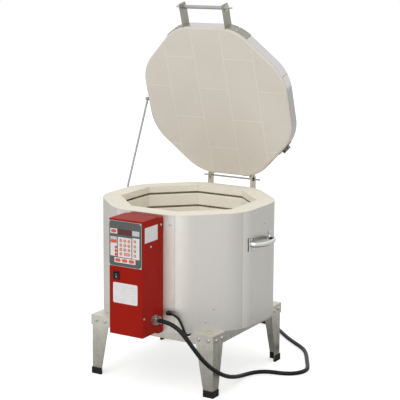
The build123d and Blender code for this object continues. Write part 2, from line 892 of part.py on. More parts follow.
def handle_screw_seats():
    """Screws that hold the handle brackets to the band."""
    x = (handle_ear_spread + handle_wrap_end) / 2
    face = band_outer + ear_sheet
    levels = (band_bottom + 9, lid_top - 9)
    return mirrored_seats([surface_seat(x, -1, face, z) for z in levels])


# Lid prop: the guide lies on the circle about the hinge that the upper pivot moves on,
# so the rod turns by exactly half of what the lid turns

def prop_pivot_closed():
    """Upper pivot of the prop on the closed lid."""
    return -prop_plane, hinge_y - prop_pivot_forward, (band_bottom + lid_top) / 2


def prop_pivot():
    """Upper pivot of the prop with the lid open."""
    return opened_point(*prop_pivot_closed())


def prop_guide():
    """Point of the guide that the rod slides through."""
    _, y, z = prop_pivot_closed()
    swing = math.hypot(y - hinge_y, z - hinge_z)
    drop = guide_drop_below_rim + hinge_above
    return Vector(-prop_plane, hinge_y - math.sqrt(swing ** 2 - drop ** 2), hinge_z - drop)


def prop_rod():
    """Round rod with a flattened eye at the top and a catch notch at the guide."""
    top = prop_pivot()
    guide = prop_guide()
    run = (guide - top).normalized()
    end = guide + run * prop_rod_tail
    half = prop_eye_width / 2
    side = Vector(1, 0, 0)
    body = bar(top + run * (prop_pin_radius + 2), end, prop_rod_radius)
    body += bar(top - side * half, top + side * half, prop_eye_radius)
    body -= bar(top - side * 20, top + side * 20, prop_pin_radius + running_clearance)
    notch = Plane(origin=guide - run * (guide_block_size / 2 + 4), z_dir=run, x_dir=(1, 0, 0))
    cut = Pos(0, 2 * prop_rod_radius - prop_catch_depth, 0) * Box(20, 2 * prop_rod_radius, 5)
    return body - notch * cut


def prop_pivot_stud():
    """Plate on the lid band with the shouldered stud for the prop."""
    x, y, z = prop_pivot_closed()
    wall = -band_outer
    eye_side = x + prop_eye_width / 2 + fit_gap
    half_w = pivot_plate[0] / 2
    half_h = pivot_plate[1] / 2
    face = wall - prop_plate_sheet
    plate = block(wall, face, y - half_w, y + half_w, z - half_h, z + half_h)
    shoulder = bar((face, y, z), (eye_side, y, z), pivot_shoulder_radius)
    pin_end = x - prop_eye_width / 2 - fit_gap
    pin = bar((eye_side, y, z), (pin_end, y, z), prop_pin_radius)
    head = bar((pin_end, y, z), (pin_end - prop_plate_sheet, y, z), pivot_head_radius)
    return opened(drilled(plate + shoulder + pin + head, pivot_screw_seats()))


def pivot_screw_seats():
    """Screws that hold the prop's plate to the lid."""
    _, y, z = prop_pivot_closed()
    face = -band_outer - prop_plate_sheet
    return [((face, y + side * pivot_screw_spread, z), (-1, 0, 0)) for side in (-1, 1)]


def guide_screw_seats():
    """Screws that hold the prop's bracket to the jacket."""
    guide = prop_guide()
    face = -jacket_outer - prop_plate_sheet
    spread_y, spread_z = guide_screw_spread
    return [((face, guide.Y + side * spread_y, guide.Z + side * spread_z), (-1, 0, 0))
            for side in (-1, 1)]


def guide_bracket():
    """Plate and boss on the jacket that the swivelling guide turns in."""
    guide = prop_guide()
    wall = -jacket_outer
    boss_end = -prop_plane + guide_block_width / 2 + fit_gap
    half_w = guide_plate[0] / 2
    half_h = guide_plate[1] / 2
    face = wall - prop_plate_sheet
    plate = block(wall, face, guide.Y - half_w, guide.Y + half_w, guide.Z - half_h,
                  guide.Z + half_h)
    boss = bar((face, guide.Y, guide.Z), (boss_end, guide.Y, guide.Z), guide_boss_radius)
    hole = guide_trunnion_radius + running_clearance
    bore = bar((wall - 2, guide.Y, guide.Z), (boss_end - 1, guide.Y, guide.Z), hole)
    return drilled(plate + boss - bore, guide_screw_seats())


def guide_block():
    """Swivelling block that the prop rod slides through, with its trunnion."""
    guide = prop_guide()
    run = (guide - prop_pivot()).normalized()
    frame = Plane(origin=guide, z_dir=run, x_dir=(1, 0, 0))
    body = Box(guide_block_width, guide_block_size, guide_block_size)
    body = fillet(body.edges().filter_by(Axis.X), 3)
    body -= Cylinder(prop_rod_radius + guide_bore_clearance, 3 * guide_block_size)
    start = -prop_plane + guide_block_width / 2
    trunnion = bar((start, guide.Y, guide.Z), (-jacket_outer - 2 - fit_gap, guide.Y, guide.Z),
                   guide_trunnion_radius)
    return frame * body + trunnion


# Side handles

def side_handle():
    """Bow handle on the +X side with its two end plates."""
    width, height, sheet = side_handle_plate
    half = side_handle_spacing / 2
    wall = jacket_outer
    middle = side_handle_centre_y
    z = side_handle_z
    body = None
    for side in (-1, 1):
        y = middle + side * half
        plate = block(wall, wall + sheet, y - width / 2, y + width / 2, z - height / 2,
                      z + height / 2)
        body = plate if body is None else body + plate
    out = wall + side_handle_reach - side_handle_section[1] / 2
    root = wall + sheet - 1
    points = [(root, middle - half, z), (root + 10, middle - half + 1, z),
              (out, middle - half + 24, z), (out + 3, middle, z),
              (out, middle + half - 24, z), (root + 10, middle + half - 1, z),
              (root, middle + half, z)]
    path = FilletPolyline(*points, radius=side_handle_bends)
    start = Plane(origin=path @ 0, z_dir=path % 0, x_dir=(0, 0, 1))
    tall, thick = side_handle_section
    body += sweep(start * Ellipse(tall / 2, thick / 2), path=path)
    return drilled(body, side_handle_seats(1))


def side_handle_seats(side):
    """Four screws through the end plates of the right (1) or left (-1) handle."""
    face = jacket_outer + side_handle_plate[2]
    seats = []
    for end in (-1, 1):
        y = side_handle_centre_y + end * side_handle_spacing / 2
        for up in (-1, 1):
            z = side_handle_z + up * side_handle_screw_rise
            seats.append(((side * face, side * y, z), (side, 0, 0)))
    return seats


# Control box

def box_cover():
    """Front cover of the control box, open towards the kiln."""
    back = tray_front_y - cover_gap
    outer = block(box_left, box_right, box_front_y, back, box_bottom, box_top)
    front_edges = outer.edges().group_by(Axis.Y)[0]
    outer = fillet(front_edges, 2)
    inner = block(box_left + box_sheet, box_right - box_sheet, box_front_y + box_sheet,
                  back + 1, box_bottom + box_sheet, box_top - box_sheet)
    cover = outer - inner
    half_w = rocker_bezel[0] / 2 - 2
    half_h = rocker_bezel[1] / 2 - 2
    cover -= block(rocker_x - half_w, rocker_x + half_w, box_front_y - 1,
                   box_front_y + box_sheet + 1, rocker_z - half_h, rocker_z + half_h)
    entry = connector_nipple_radius + fit_gap
    start = (box_right - 5, connector_y, connector_z)
    cover -= bar(start, (box_right + 5, connector_y, connector_z), entry)
    cover = drilled(cover, box_screw_seats(), box_screw_length)
    return drilled(cover, panel_screw_seats(), panel_screw_length, panel_shank_radius)


def box_tray():
    """Back tray of the control box with the lip that the cover slides over."""
    outer = block(box_left, box_right, tray_front_y, box_back_y, tray_bottom, tray_top)
    sheet = box_sheet
    inner = block(box_left + sheet, box_right - sheet, tray_front_y - 1, box_back_y - sheet,
                  tray_bottom + sheet, tray_top - sheet)
    tray = outer - inner
    inset = box_sheet + fit_gap
    lip_low = box_bottom + inset
    lip_high = tray_top - inset
    lip = block(box_left + inset, box_right - inset, tray_front_y - tray_lip,
                tray_front_y + 3, lip_low, lip_high)
    lip -= block(box_left + inset + sheet, box_right - inset - sheet,
                 tray_front_y - tray_lip - 1, tray_front_y + 4, lip_low + sheet,
                 lip_high - sheet)
    tray += lip
    front_frame = block(box_left, box_right, tray_front_y, tray_front_y + sheet, tray_bottom,
                        box_top)
    front_frame -= block(box_left + inset + sheet, box_right - inset - sheet,
                         tray_front_y - 1, tray_front_y + 3, lip_low + sheet,
                         lip_high - sheet)
    tray += front_frame
    for hole in feed_holes(insulator_radius + hole_clearance):
        tray -= hole
    sensor_start = (box_centre_x, box_back_y + 2, thermocouple_z)
    sensor_end = (box_centre_x, box_back_y - box_sheet - 0.9, thermocouple_z)
    tray -= bar(sensor_start, sensor_end, thermocouple_radius + hole_clearance)
    return drilled(tray, box_screw_seats(), box_screw_length)


def box_screw_seats():
    """Screws in the sides of the control box."""
    seats = []
    tray_middle = tray_front_y + tray_depth / 2
    places = [(tray_middle, box_top - tray_screw_drop),
              (tray_middle, box_bottom + tray_screw_rise),
              (box_front_y + middle_screw_back, box_top - middle_screw_drop),
              (box_front_y + front_screw_back, box_bottom + front_screw_rise)]
    for y, z in places:
        seats.append(((box_right, y, z), (1, 0, 0)))
        seats.append(((box_left, y, z), (-1, 0, 0)))
    return seats


def controller_panel():
    """Face plate of the controller."""
    half = panel_width / 2
    plate = block(box_centre_x - half, box_centre_x + half, panel_face_y, box_front_y,
                  panel_top - panel_height, panel_top)
    return drilled(plate, panel_screw_seats(), panel_screw_length, panel_shank_radius)


def panel_spot(place, y):
    """Point of the panel from its shares of the width right of the middle and of the height."""
    across, down = place
    return Vector(box_centre_x + across * panel_width, y, panel_top - down * panel_height)


def key_places():
    """Place and size of every raised pad."""
    keys = [((x, row), round_key) for x in keypad_columns for row in keypad_rows]
    keys += [((keypad_columns[0], last_row), round_key), ((last_wide_column, last_row), wide_key)]
    keys += [(left_wide_place, wide_key), (pad_place, oval_key)]
    keys += [((left_column, row), round_key) for row in left_rows]
    keys += [((right_column, row), round_key) for row in right_rows]
    return keys + [((x, bottom_row), oval_key) for x in bottom_columns]


def key_pad(place, size):
    """One raised pad, round or with round ends."""
    width, height = size
    profile = Circle(height / 2) if width == height else SlotOverall(width, height)
    seat = Plane(origin=panel_spot(place, overlay_face_y), x_dir=(1, 0, 0), z_dir=(0, -1, 0))
    return seat * extrude(profile, key_height)


def key_overlay():
    """Printed membrane with the raised key pads, one sheet that flexes."""
    half = panel_width / 2 - overlay_margin
    low = panel_top - panel_height + overlay_margin
    high = panel_top - overlay_margin
    sheet = block(box_centre_x - half, box_centre_x + half, overlay_face_y, panel_face_y,
                  low, high)
    centre = panel_spot(display_place, panel_face_y)
    width, height = display_size
    sheet -= block(centre.X - width / 2, centre.X + width / 2, overlay_face_y - 1,
                   panel_face_y, centre.Z - height / 2, centre.Z + height / 2)
    for place, size in key_places():
        sheet += key_pad(place, size)
    return sheet


def display_window():
    """Red window over the digits."""
    centre = panel_spot(display_place, panel_face_y)
    width, height = display_size
    gap = fit_gap
    return block(centre.X - width / 2 + gap, centre.X + width / 2 - gap,
                 panel_face_y - display_sheet, panel_face_y, centre.Z - height / 2 + gap,
                 centre.Z + height / 2 - gap)


def panel_screw_seats():
    """Where the four screws in the corners of the panel sit."""
    inset = panel_head_radius + 0.3
    across = 0.5 - inset / panel_width
    down = inset / panel_height
    return [(panel_spot((x, share), panel_face_y), (0, -1, 0))
            for x in (-across, across) for share in (down, 1 - down)]


def panel_screws():
    """Four small screws in the corners of the panel."""
    head = Cylinder(panel_head_radius, panel_head_height, align=LOW)
    shank = Pos(0, 0, -panel_screw_length) * Cylinder(panel_shank_radius, panel_screw_length,
                                                      align=LOW)
    return [Plane(origin=point, z_dir=outward) * (head + shank)
            for point, outward in panel_screw_seats()]


def circuit_board():
    """Board behind the panel, with its larger components."""
    width, height, sheet = board_size
    front = box_front_y + box_sheet + board_setback
    centre_z = panel_top - panel_height / 2
    board = block(box_centre_x - width / 2, box_centre_x + width / 2, front, front + sheet,
                  centre_z - height / 2, centre_z + height / 2)
    back = front + sheet
    for x, z, wide, tall, deep in board_parts:
        left = box_centre_x + x - wide / 2
        low = centre_z + z - tall / 2
        board += block(left, left + wide, back, back + deep, low, low + tall)
    return board


def board_standoffs():
    """Spacers between the box front and the board."""
    width, height, _ = board_size
    start = box_front_y + box_sheet
    centre_z = panel_top - panel_height / 2
    posts = []
    for side in (-1, 1):
        for up in (-1, 1):
            x = box_centre_x + side * (width / 2 - standoff_inset)
            z = centre_z + up * (height / 2 - standoff_inset)
            posts.append(bar((x, start, z), (x, start + board_setback, z), standoff_radius))
    return posts


def on_tray(x, rise, size):
    """Block on the back of the tray, from its offset, its height up the tray and its size."""
    width, height, depth = size
    seat = box_back_y - box_sheet
    left = box_centre_x + x - width / 2
    low = tray_bottom + rise
    return block(left, left + width, seat - depth, seat, low, low + height)


def stacked(x, rise, base, cap):
    """Block on the tray with a smaller, deeper block in its middle."""
    lift = (base[1] - cap[1]) / 2
    return on_tray(x, rise, base) + on_tray(x, rise + lift, cap)


def transformer():
    """Small transformer that feeds the controller."""
    return stacked(*transformer_place, transformer_core, transformer_winding)


def relays():
    """Two power relays that switch the elements."""
    return [stacked(relay_x, rise, relay_base, relay_cap) for rise in relay_rises]


def supply_block():
    """Terminal block where the mains leads end."""
    base = on_tray(0, supply_rise, supply_size)
    _, height, depth = supply_size
    middle = tray_bottom + supply_rise + height / 2
    front = box_back_y - box_sheet - depth
    for x in supply_wells:
        well_centre = box_centre_x + x
        bottom = front + supply_well_depth
        base -= bar((well_centre, front - 1, middle), (well_centre, bottom, middle),
                    supply_well_radius)
    return base


def rocker_housing():
    """Bezel and body of the power switch, hollow where the rocker tilts."""
    width, height, sheet = rocker_bezel
    face = box_front_y - sheet
    bezel = block(rocker_x - width / 2, rocker_x + width / 2, face, box_front_y,
                  rocker_z - height / 2, rocker_z + height / 2)
    half_w = width / 2 - 2 - fit_gap
    half_h = height / 2 - 2 - fit_gap
    body = block(rocker_x - half_w, rocker_x + half_w, box_front_y,
                 box_front_y + rocker_body_depth, rocker_z - half_h, rocker_z + half_h)
    pocket_w = rocker_paddle[0] / 2 + rocker_clearance
    pocket_h = rocker_paddle[1] / 2 + rocker_clearance
    pocket = block(rocker_x - pocket_w, rocker_x + pocket_w, face - 1, box_front_y + 12,
                   rocker_z - pocket_h, rocker_z + pocket_h)
    shape = bezel + body - pocket
    axis_y = rocker_axis_y()
    hole = rocker_pin_radius + running_clearance
    reach = half_w - 0.5
    return shape - bar((rocker_x - reach, axis_y, rocker_z), (rocker_x + reach, axis_y, rocker_z),
                       hole)


def rocker_axis_y():
    """Depth of the rocker's pin."""
    return box_front_y + 4


def rocker():
    """Paddle of the power switch with its two pins, tilted to one side."""
    axis_y = rocker_axis_y()
    half_w = rocker_paddle[0] / 2
    half_h = rocker_paddle[1] / 2
    front = box_front_y - rocker_bezel[2] - 1.5
    outline = [(front + 1.2, -half_h + 1), (front + 2.2, 0), (front + 1.2, half_h - 1),
               (axis_y, half_h - 1), (axis_y + 5, 3), (axis_y + 5, -3), (axis_y, -half_h + 1)]
    profile = Plane.YZ * make_face(Polyline(*outline, close=True))
    paddle = Pos(rocker_x - half_w, 0, rocker_z) * extrude(profile, 2 * half_w)
    reach = rocker_bezel[0] / 2 - 2 - fit_gap - 0.9
    pin = bar((rocker_x - reach, axis_y, rocker_z), (rocker_x + reach, axis_y, rocker_z),
              rocker_pin_radius)
    return (paddle + pin).rotate(Axis((0, axis_y, rocker_z), (1, 0, 0)), 8)


def front_plate():
    """Blank rating plate on the front of the box."""
    width, height = front_plate_size
    x = box_centre_x - front_plate_left
    z = box_top - front_plate_drop
    plate = block(x - width / 2, x + width / 2, box_front_y - plate_sheet, box_front_y,
                  z - height / 2, z + height / 2)
    return fillet(plate.edges().filter_by(Axis.Y), 5)


def side_plate():
    """Blank notice plate on the right side of the box."""
    width, height = side_plate_size
    y = box_front_y + side_plate_back
    z = box_top - side_plate_drop
    return block(box_right, box_right + plate_sheet, y - width / 2, y + width / 2,
                 z - height / 2, z + height / 2)


# Power entry and cord

def cord_connector():
    """Metal clamp connector in the side of the box."""
    y = connector_y
    z = connector_z
    face = box_right
    flange_end = face + connector_flange_width
    end = face + connector_length
    body = bar((face - 8, y, z), (face, y, z), connector_nipple_radius)
    body += bar((face, y, z), (flange_end, y, z), connector_flange_radius)
    length, width, height = clamp_size
    start = end - length
    body += bar((flange_end, y, z), (end, y, z), cord_radius + 3)
    body += block(start, end, y - width / 2, y + width / 2, z - height / 2 - 4, z)
    body -= block(start - 1, end + 1, y - width / 2 - 1, y + width / 2 + 1, z, z + 30)
    bore = bar((face - 9, y, z), (end + 1, y, z), cord_radius)
    return drilled(body - bore, clamp_screw_seats(), clamp_screw_length)


def cord_clamp_bar():
    """Loose half of the clamp over the cord."""
    y = connector_y
    z = connector_z
    end = box_right + connector_length
    length, width, height = clamp_size
    start = end - length
    half = block(start, end, y - width / 2, y + width / 2, z + 0.6, z + height / 2 + 2)
    half += block(start, end, y - cord_radius - 2, y + cord_radius + 2, z + 0.6,
                  z + cord_radius + 3)
    half -= bar((start - 1, y, z), (end + 1, y, z), cord_radius)
    return drilled(half, clamp_screw_seats(), clamp_screw_length)


def clamp_screw_seats():
    """Two screws that close the clamp on the cord."""
    z = connector_z + clamp_size[2] / 2 + 2
    x = box_right + connector_length - clamp_size[0] / 2
    offset = clamp_size[1] / 2 - 4
    return [((x, connector_y + side * offset, z), (0, 0, 1)) for side in (-1, 1)]


def connector_locknut():
    """Locknut inside the box."""
    start = box_right - box_sheet
    nut = bar((start, connector_y, connector_z), (start - 4, connector_y, connector_z),
              connector_flange_radius - 2)
    return nut - bar((start + 1, connector_y, connector_z),
                     (start - 5, connector_y, connector_z), connector_nipple_radius)


# Fall of the power cord from its clamp: distance right of it, behind it, and share of its height
cord_fall = [
    (32.25, 0, 1.000), (69.25, 1, 0.941), (97.25, 3, 0.838), (121.25, 9, 0.712),
    (142.25, 23, 0.578), (158.25, 48, 0.456), (167.25, 82, 0.358), (168.25, 122, 0.271),
    (162.25, 168, 0.196), (152.25, 214, 0.133), (141.25, 258, 0.078), (133.25, 300, 0.035),
    (132.25, 342, 0.007),
]

# Where the cord lies on the floor, chosen by eye from the photograph
cord_on_floor = [
    (235, 43), (259, 69), (288, 81), (317, 85), (350, 100), (371, 129), (376, 165), (362, 200),
    (341, 239), (319, 281), (296, 323), (270, 360), (235, 391), (197, 420), (153, 458),
    (109, 501), (65, 545), (17, 578), (-35, 590), (-84, 576),
]
cord_lift = 0.2
plug_rise = (-116, 538, 10)
plug_start = (-127, 490)
plug_end = (-127, 448)


def cord_points():
    """Every point of the cord's route from the clamp to the plug."""
    exit_x = box_right + connector_length
    low = cord_radius + cord_lift
    plug_z = plug_size[2] / 2
    points = [(exit_x, connector_y, connector_z)]
    for right, back, share in cord_fall:
        height = low + share * (connector_z - low)
        points.append((exit_x + right, connector_y + back, height))
    points += [(x, y, low) for x, y in cord_on_floor]
    return points + [plug_rise, (*plug_start, plug_z), (*plug_end, plug_z)]


cord_route = cord_points()


def cord_radii():
    """Bend radius at each inner point, as large as its two runs allow."""
    points = [Vector(*point) for point in cord_route]
    radii = []
    for before, here, after in zip(points, points[1:], points[2:]):
        first = here - before
        second = after - here
        turn = math.radians(first.get_angle(second))
        shorter = min(first.length, second.length)
        radii.append(0.45 * shorter / math.tan(turn / 2))
    return radii


def power_cord():
    """The free cord as straight runs joined by arcs."""
    radii = cord_radii()
    print("cord radii", [round(radius) for radius in radii])
    path = FilletPolyline(*cord_route, radius=radii)
    print("cord length", round(path.length))
    start = Plane(origin=path @ 0, z_dir=path % 0)
    tube = sweep(start * Circle(cord_radius), path=path)
    print("cord fill", round(tube.volume / (path.length * math.pi * cord_radius ** 2), 4))
    return tube


def plug():
    """Moulded plug with two flat blades and a round earth pin."""
    end = Vector(*cord_route[-1])
    width, length, height = plug_size
    front = end.Y - length
    body = block(end.X - width / 2, end.X + width / 2, front, end.Y, end.Z - height / 2,
                 end.Z + height / 2)
    body = fillet(body.edges().filter_by(Axis.Y), 8)
    blade_width, blade_length, blade_sheet = plug_blade
    for side in (-1, 1):
        x = end.X + side * 10
        body += block(x - blade_sheet / 2, x + blade_sheet / 2, front - blade_length, front,
                      end.Z - blade_width / 2, end.Z + blade_width / 2)
    body += bar((end.X, front, end.Z + 7), (end.X, front - blade_length - 3, end.Z + 7), 2.4)
    return body


# Floor sensor lead, held at both ends

def lead_start():
    """Where the lead leaves its bushing, and the bushing's seat and direction."""
    return on_jacket(lead_bushing_angle, 0, lead_bushing_z)


def lead_bushing():
    """Angled strain relief on the jacket beside the box."""
    seat, normal = lead_start()
    tip = seat + normal * 11
    body = bar(seat, seat + normal * 3, lead_bushing_radius)
    body += bar(seat, tip, lead_radius + 2)
    body += Pos(tip) * Sphere(lead_radius + 2)
    return body + bar(tip, tip + Vector(9, 0, 0), lead_radius + 1.5)


def sensor_lead():
    """Thin lead from the bushing down and under the kiln."""
    seat, normal = lead_start()
    start = seat + normal * 11 + Vector(9, 0, 0)
    gland = Vector(lead_notch_x, -stand_half + 48, lead_gland_z)
    points = [start, start + Vector(12, 0, 0)]
    for left, inwards, rise in lead_run:
        points.append(Vector(lead_notch_x - left, inwards - jacket_outer, stand_height + rise))
    points += [Vector(lead_notch_x, -stand_half, lead_gland_z), gland]
    radii = []
    for before, here, after in zip(points, points[1:], points[2:]):
        first = here - before
        second = after - here
        turn = math.radians(first.get_angle(second))
        radii.append(0.45 * min(first.length, second.length) / math.tan(turn / 2))
    path = FilletPolyline(*points, radius=radii)
    return sweep(Plane(origin=path @ 0, z_dir=path % 0) * Circle(lead_radius), path=path)


def floor_cutout():
    """Over-temperature cut-out housing under the floor pan."""
    width, depth, height = cutout_size
    front = -stand_half + 48
    return block(lead_notch_x - width / 2, lead_notch_x + width / 2, front, front + depth,
                 stand_height - height, stand_height)


os.makedirs("parts", exist_ok=True)

for course in range(course_count):
    save("wall_course_" + str(course + 1), wall_course(course))
save("floor_slab", floor_slab())
save("floor_pan", floor_pan())
save("jacket", jacket())
save("jacket_seam", jacket_seam())
save("jacket_screws", *screws(body_screw_seats()))
save("heating_elements", *element_rings(), *terminal_pins())
save("terminal_insulators", *terminal_insulators())
save("terminal_connectors", *terminal_connectors())
save("thermocouple", thermocouple())

save("stand_rails", *[rail(direction) for direction in range(4)])
save("stand_legs", *[leg(direction) for direction in range(4)])
save("stand_boots", *[boot(direction) for direction in range(4)])
save("stand_bolts", *stand_bolts())
save("stand_nuts", *stand_nuts())

save("lid_slab", lid_slab())
save("lid_band", lid_band())
save("lid_band_clamp", *lid_band_clamp(), lid_clamp_screw())
save("lid_hinge_brackets", *[opened(piece) for piece in both_sides(lid_hinge_bracket())])
save("lid_screws", *[opened(piece) for piece in screws(lid_screw_seats())])
save("hinge_rod", hinge_rod())
save("hinge_clips", *hinge_clips())
save("body_hinge_straps", *both_sides(body_hinge_strap()))
save("lid_handle_brackets", *[opened(piece) for piece in both_sides(lid_handle_bracket())])
save("lid_handle_grip", lid_handle_grip())
save("lid_handle_rod", lid_handle_rod())
save("lid_handle_nuts", *lid_handle_nuts())
save("prop_rod", prop_rod())
save("prop_pivot_stud", prop_pivot_stud())
save("guide_bracket", guide_bracket())
save("guide_block", guide_block())
save("side_handle_right", side_handle())
save("side_handle_left", Rot(0, 0, 180) * side_handle())

save("box_cover", box_cover())
save("box_tray", box_tray())
save("box_screws", *screws(box_screw_seats(), box_screw_length))
save("controller_panel", controller_panel())
save("key_overlay", key_overlay())
save("display_window", display_window())
save("panel_screws", *panel_screws())
save("circuit_board", circuit_board())
save("board_standoffs", *board_standoffs())
save("transformer", transformer())
save("relays", *relays())
save("supply_block", supply_block())
save("rocker_housing", rocker_housing())
save("rocker", rocker())
save("front_plate", front_plate())
save("side_plate", side_plate())
save("cord_connector", cord_connector(), connector_locknut())
save("cord_clamp_bar", cord_clamp_bar(), *screws(clamp_screw_seats(), clamp_screw_length))
save("power_cord", power_cord())
save("plug", plug())
save("lead_bushing", lead_bushing())
save("sensor_lead", sensor_lead())
save("floor_cutout", floor_cutout())
print("rim", round(rim_z, 1), "hinge", round(hinge_y, 1), round(hinge_z, 1))
print("prop pivot", prop_pivot(), "guide", prop_guide())
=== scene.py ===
import math

import bpy
import bmesh
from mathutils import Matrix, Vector


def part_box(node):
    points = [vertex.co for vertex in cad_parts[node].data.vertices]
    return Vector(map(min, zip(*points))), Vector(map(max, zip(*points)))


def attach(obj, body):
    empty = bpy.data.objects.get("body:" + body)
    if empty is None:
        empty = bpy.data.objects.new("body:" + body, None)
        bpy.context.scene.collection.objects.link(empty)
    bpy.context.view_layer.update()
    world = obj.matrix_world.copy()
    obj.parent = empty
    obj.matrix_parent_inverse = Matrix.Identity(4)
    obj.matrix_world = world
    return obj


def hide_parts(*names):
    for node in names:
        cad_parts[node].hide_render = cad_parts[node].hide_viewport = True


# Sizes in metres. The axis of the chamber is Z, the floor is z = 0 and the control box
# faces -Y. Places that are not written here are read from the frame.

side_count = 8
half_corner = math.pi / side_count
brick_width = 0.1143
brick_apothem = 0.280
jacket_outer = 0.281
band_outer = 0.281
outer_corner_radius = 0.144
course_pitch = 0.1145
course_count = 3
groove_drops = (0.0255, 0.074)
element_apothem = 0.22375
terminal_half_spacing = 0.020
terminal_reach = 0.015

hinge_y = 0.3022
hinge_z = 0.6175
lid_open_angle = math.radians(71.5)
lid_bottom = 0.5935
lid_top = 0.6365
band_bottom = 0.5995
lid_edge_chamfer = 0.0055
band_seam_place = (0.2802, -0.114)
band_seam_width = 0.0012

# Cement joints between the bricks of the closed lid: X of the long ones in brick widths,
# and Y of the short ones in the middle column and in the next ones on both sides

joint_end_gap = 0.003
joint_width = 0.0034
joint_height = 0.00012
long_joints = (-1.5, -0.5, 0.5, 1.5)
short_joints = ((-0.054, 0.1746), (-0.1683, 0.0603), (-0.054, 0.1746))

# Heating coils and cord. The sides of the eight-sided outline are counted from +X.

coil_radius = 0.0036
coil_wire_radius = 0.0009
coil_pitch = 0.0052
coil_points_per_turn = 8
control_box_side = 6

cord_radius = 0.007
cord_curve_order = 3
cord_steps = 12
cord_facets = 5

# Keypad: places as shares of the panel's width right of its middle and of its height
# downwards, and sizes in metres. The gap beyond the plate's outer lines is in line pitches.

keypad_columns = (-0.134, -0.009, 0.116)
keypad_rows = (0.425, 0.527, 0.623)
last_row = 0.719
last_wide_column = 0.056
left_wide_place = (-0.355, 0.457)
left_column = -0.287
left_rows = (0.585, 0.664, 0.743)
right_column = 0.297
right_rows = (0.410, 0.520, 0.620, 0.722)
bottom_row = 0.862
bottom_columns = (-0.225, -0.016, 0.193)
pad_place = (-0.351, 0.232)
round_key = 0.0092
wide_key = (0.0226, 0.0086)
oval_key = (0.0196, 0.0096)
film_thickness = 0.0006
field_corner = 0.001
key_lift = 0.0007
print_height = 0.00008
ring_share = 0.62
wide_middle_share = (0.78, 0.5)
round_end_share = 0.499
digit_size = 0.0048
panel_edge_width = 0.0011
rocker_mark_lift = 0.0045
rocker_bar = (0.0009, 0.0042)
rocker_ring = 0.0046
rocker_ring_hole = 0.0030
rocker_probe_distance = 0.05
plate_line_count = 6
plate_line_width = 0.0006
plate_line_margin = 0.006
plate_line_end_gap = 1.5
pale_fields = [
    ((-0.351, 0.232), (0.0263, 0.0160)),
    ((-0.355, 0.640), (0.0250, 0.0415)),
    ((-0.016, 0.572), (0.0510, 0.0640)),
    ((0.328, 0.568), (0.0266, 0.0680)),
    ((-0.008, 0.864), (0.0790, 0.0160)),
]
grey_fields = [
    ((0.328, 0.235), (0.0266, 0.0160)),
    ((-0.355, 0.388), (0.0250, 0.0100)),
    ((-0.355, 0.457), (0.0250, 0.0110)),
]

# The camera that was solved from the photograph

camera_place = Vector((2.1943, -3.6721, 1.4494))
camera_azimuth = math.radians(32.57)
camera_elevation = math.radians(8.86)
camera_lens = 115.67
camera_shift = (0.1233, -0.1445)
camera_near = 0.1
camera_far = 50

# Light: level of the surroundings on the object, how much white the floor adds where it
# is seen directly, and the painted light it adds in mirrors towards its bright side. In
# mirrors the floor also has painted shade on the left, over a reach along X, and a painted
# shadow near the kiln, over a distance from the middle.

ambient_level = 0.72
floor_size = 40
floor_drop = 0.0005
floor_colour = 0.80
floor_lift = 0.58
floor_mirror_painted_light = 0.44
floor_bright_side = (-0.53, -0.85, 0)
floor_bright_reach = 1.4
floor_left_painted_shade = 0.38
floor_left_reach = (-1.7, -0.8)
floor_near_painted_shadow = 0.34
floor_near_reach = (0.70, 1.10)
key_direction = Vector((0.12, -0.78, 0.61))
key_distance = 7.0
key_target = Vector((0, 0, 0.4))
key_size = 6.0
key_power = 165

# Materials: the part of a noise's range that is stretched to the whole, and the numbers of
# the sockets of a node that mixes colours

noise_middle = (0.3, 0.7)
mix_inputs = (0, 6, 7)
mix_output = 2
white = (1, 1, 1)

# Sheet steel, with painted highlight, painted shade and a dark painted line at the folds of
# the jacket. Their stretches are shares of one side, counted from the fold.

sheet_metallic = 0.92
sheet_anisotropy = 0.8
fold_shade_reach = 0.008
fold_rise = 0.02
painted_highlight_fade = (0.06, 0.20)
painted_shade_fade = (-0.16, -0.04)
painted_highlight_factor = 1.10
painted_shade_factor = 0.975
fold_shade_factor = 0.80

# Painted shade on the inner side of the handles, facing the kiln: range of outward normal
# times distance from the axis, and how dark it is

inner_shade_range = (-0.16, -0.04)
inner_shade_factor = 0.08


def aim():
    """Direction in which the camera looks."""
    level = math.cos(camera_elevation)
    return Vector((-math.sin(camera_azimuth) * level, math.cos(camera_azimuth) * level,
                   -math.sin(camera_elevation)))


def add_camera():
    """Camera with the framing of the photograph."""
    data = bpy.data.cameras.new("camera")
    camera = bpy.data.objects.new("camera", data)
    bpy.context.collection.objects.link(camera)
    camera.location = camera_place
    camera.rotation_mode = "QUATERNION"
    camera.rotation_quaternion = aim().to_track_quat("-Z", "Y")
    data.lens = camera_lens
    data.shift_x, data.shift_y = camera_shift
    data.clip_start = camera_near
    data.clip_end = camera_far
    bpy.context.scene.camera = camera


# Steps that node trees of materials and of the surroundings share

def feed(tree, value, socket):
    """Gives an input socket a number, a colour or the output of another node."""
    if isinstance(value, (int, float)):
        socket.default_value = value
    elif isinstance(value, tuple):
        socket.default_value = (*value, 1)
    else:
        tree.links.new(value, socket)


def map_range(tree, value, low, high, to_low=0.0, to_high=1.0):
    """Linear change of a value's range, kept inside it. The limits may be outputs."""
    made = tree.nodes.new("ShaderNodeMapRange")
    feed(tree, value, made.inputs["Value"])
    feed(tree, low, made.inputs["From Min"])
    feed(tree, high, made.inputs["From Max"])
    feed(tree, to_low, made.inputs["To Min"])
    feed(tree, to_high, made.inputs["To Max"])
    return made.outputs["Result"]


# Kinds of material

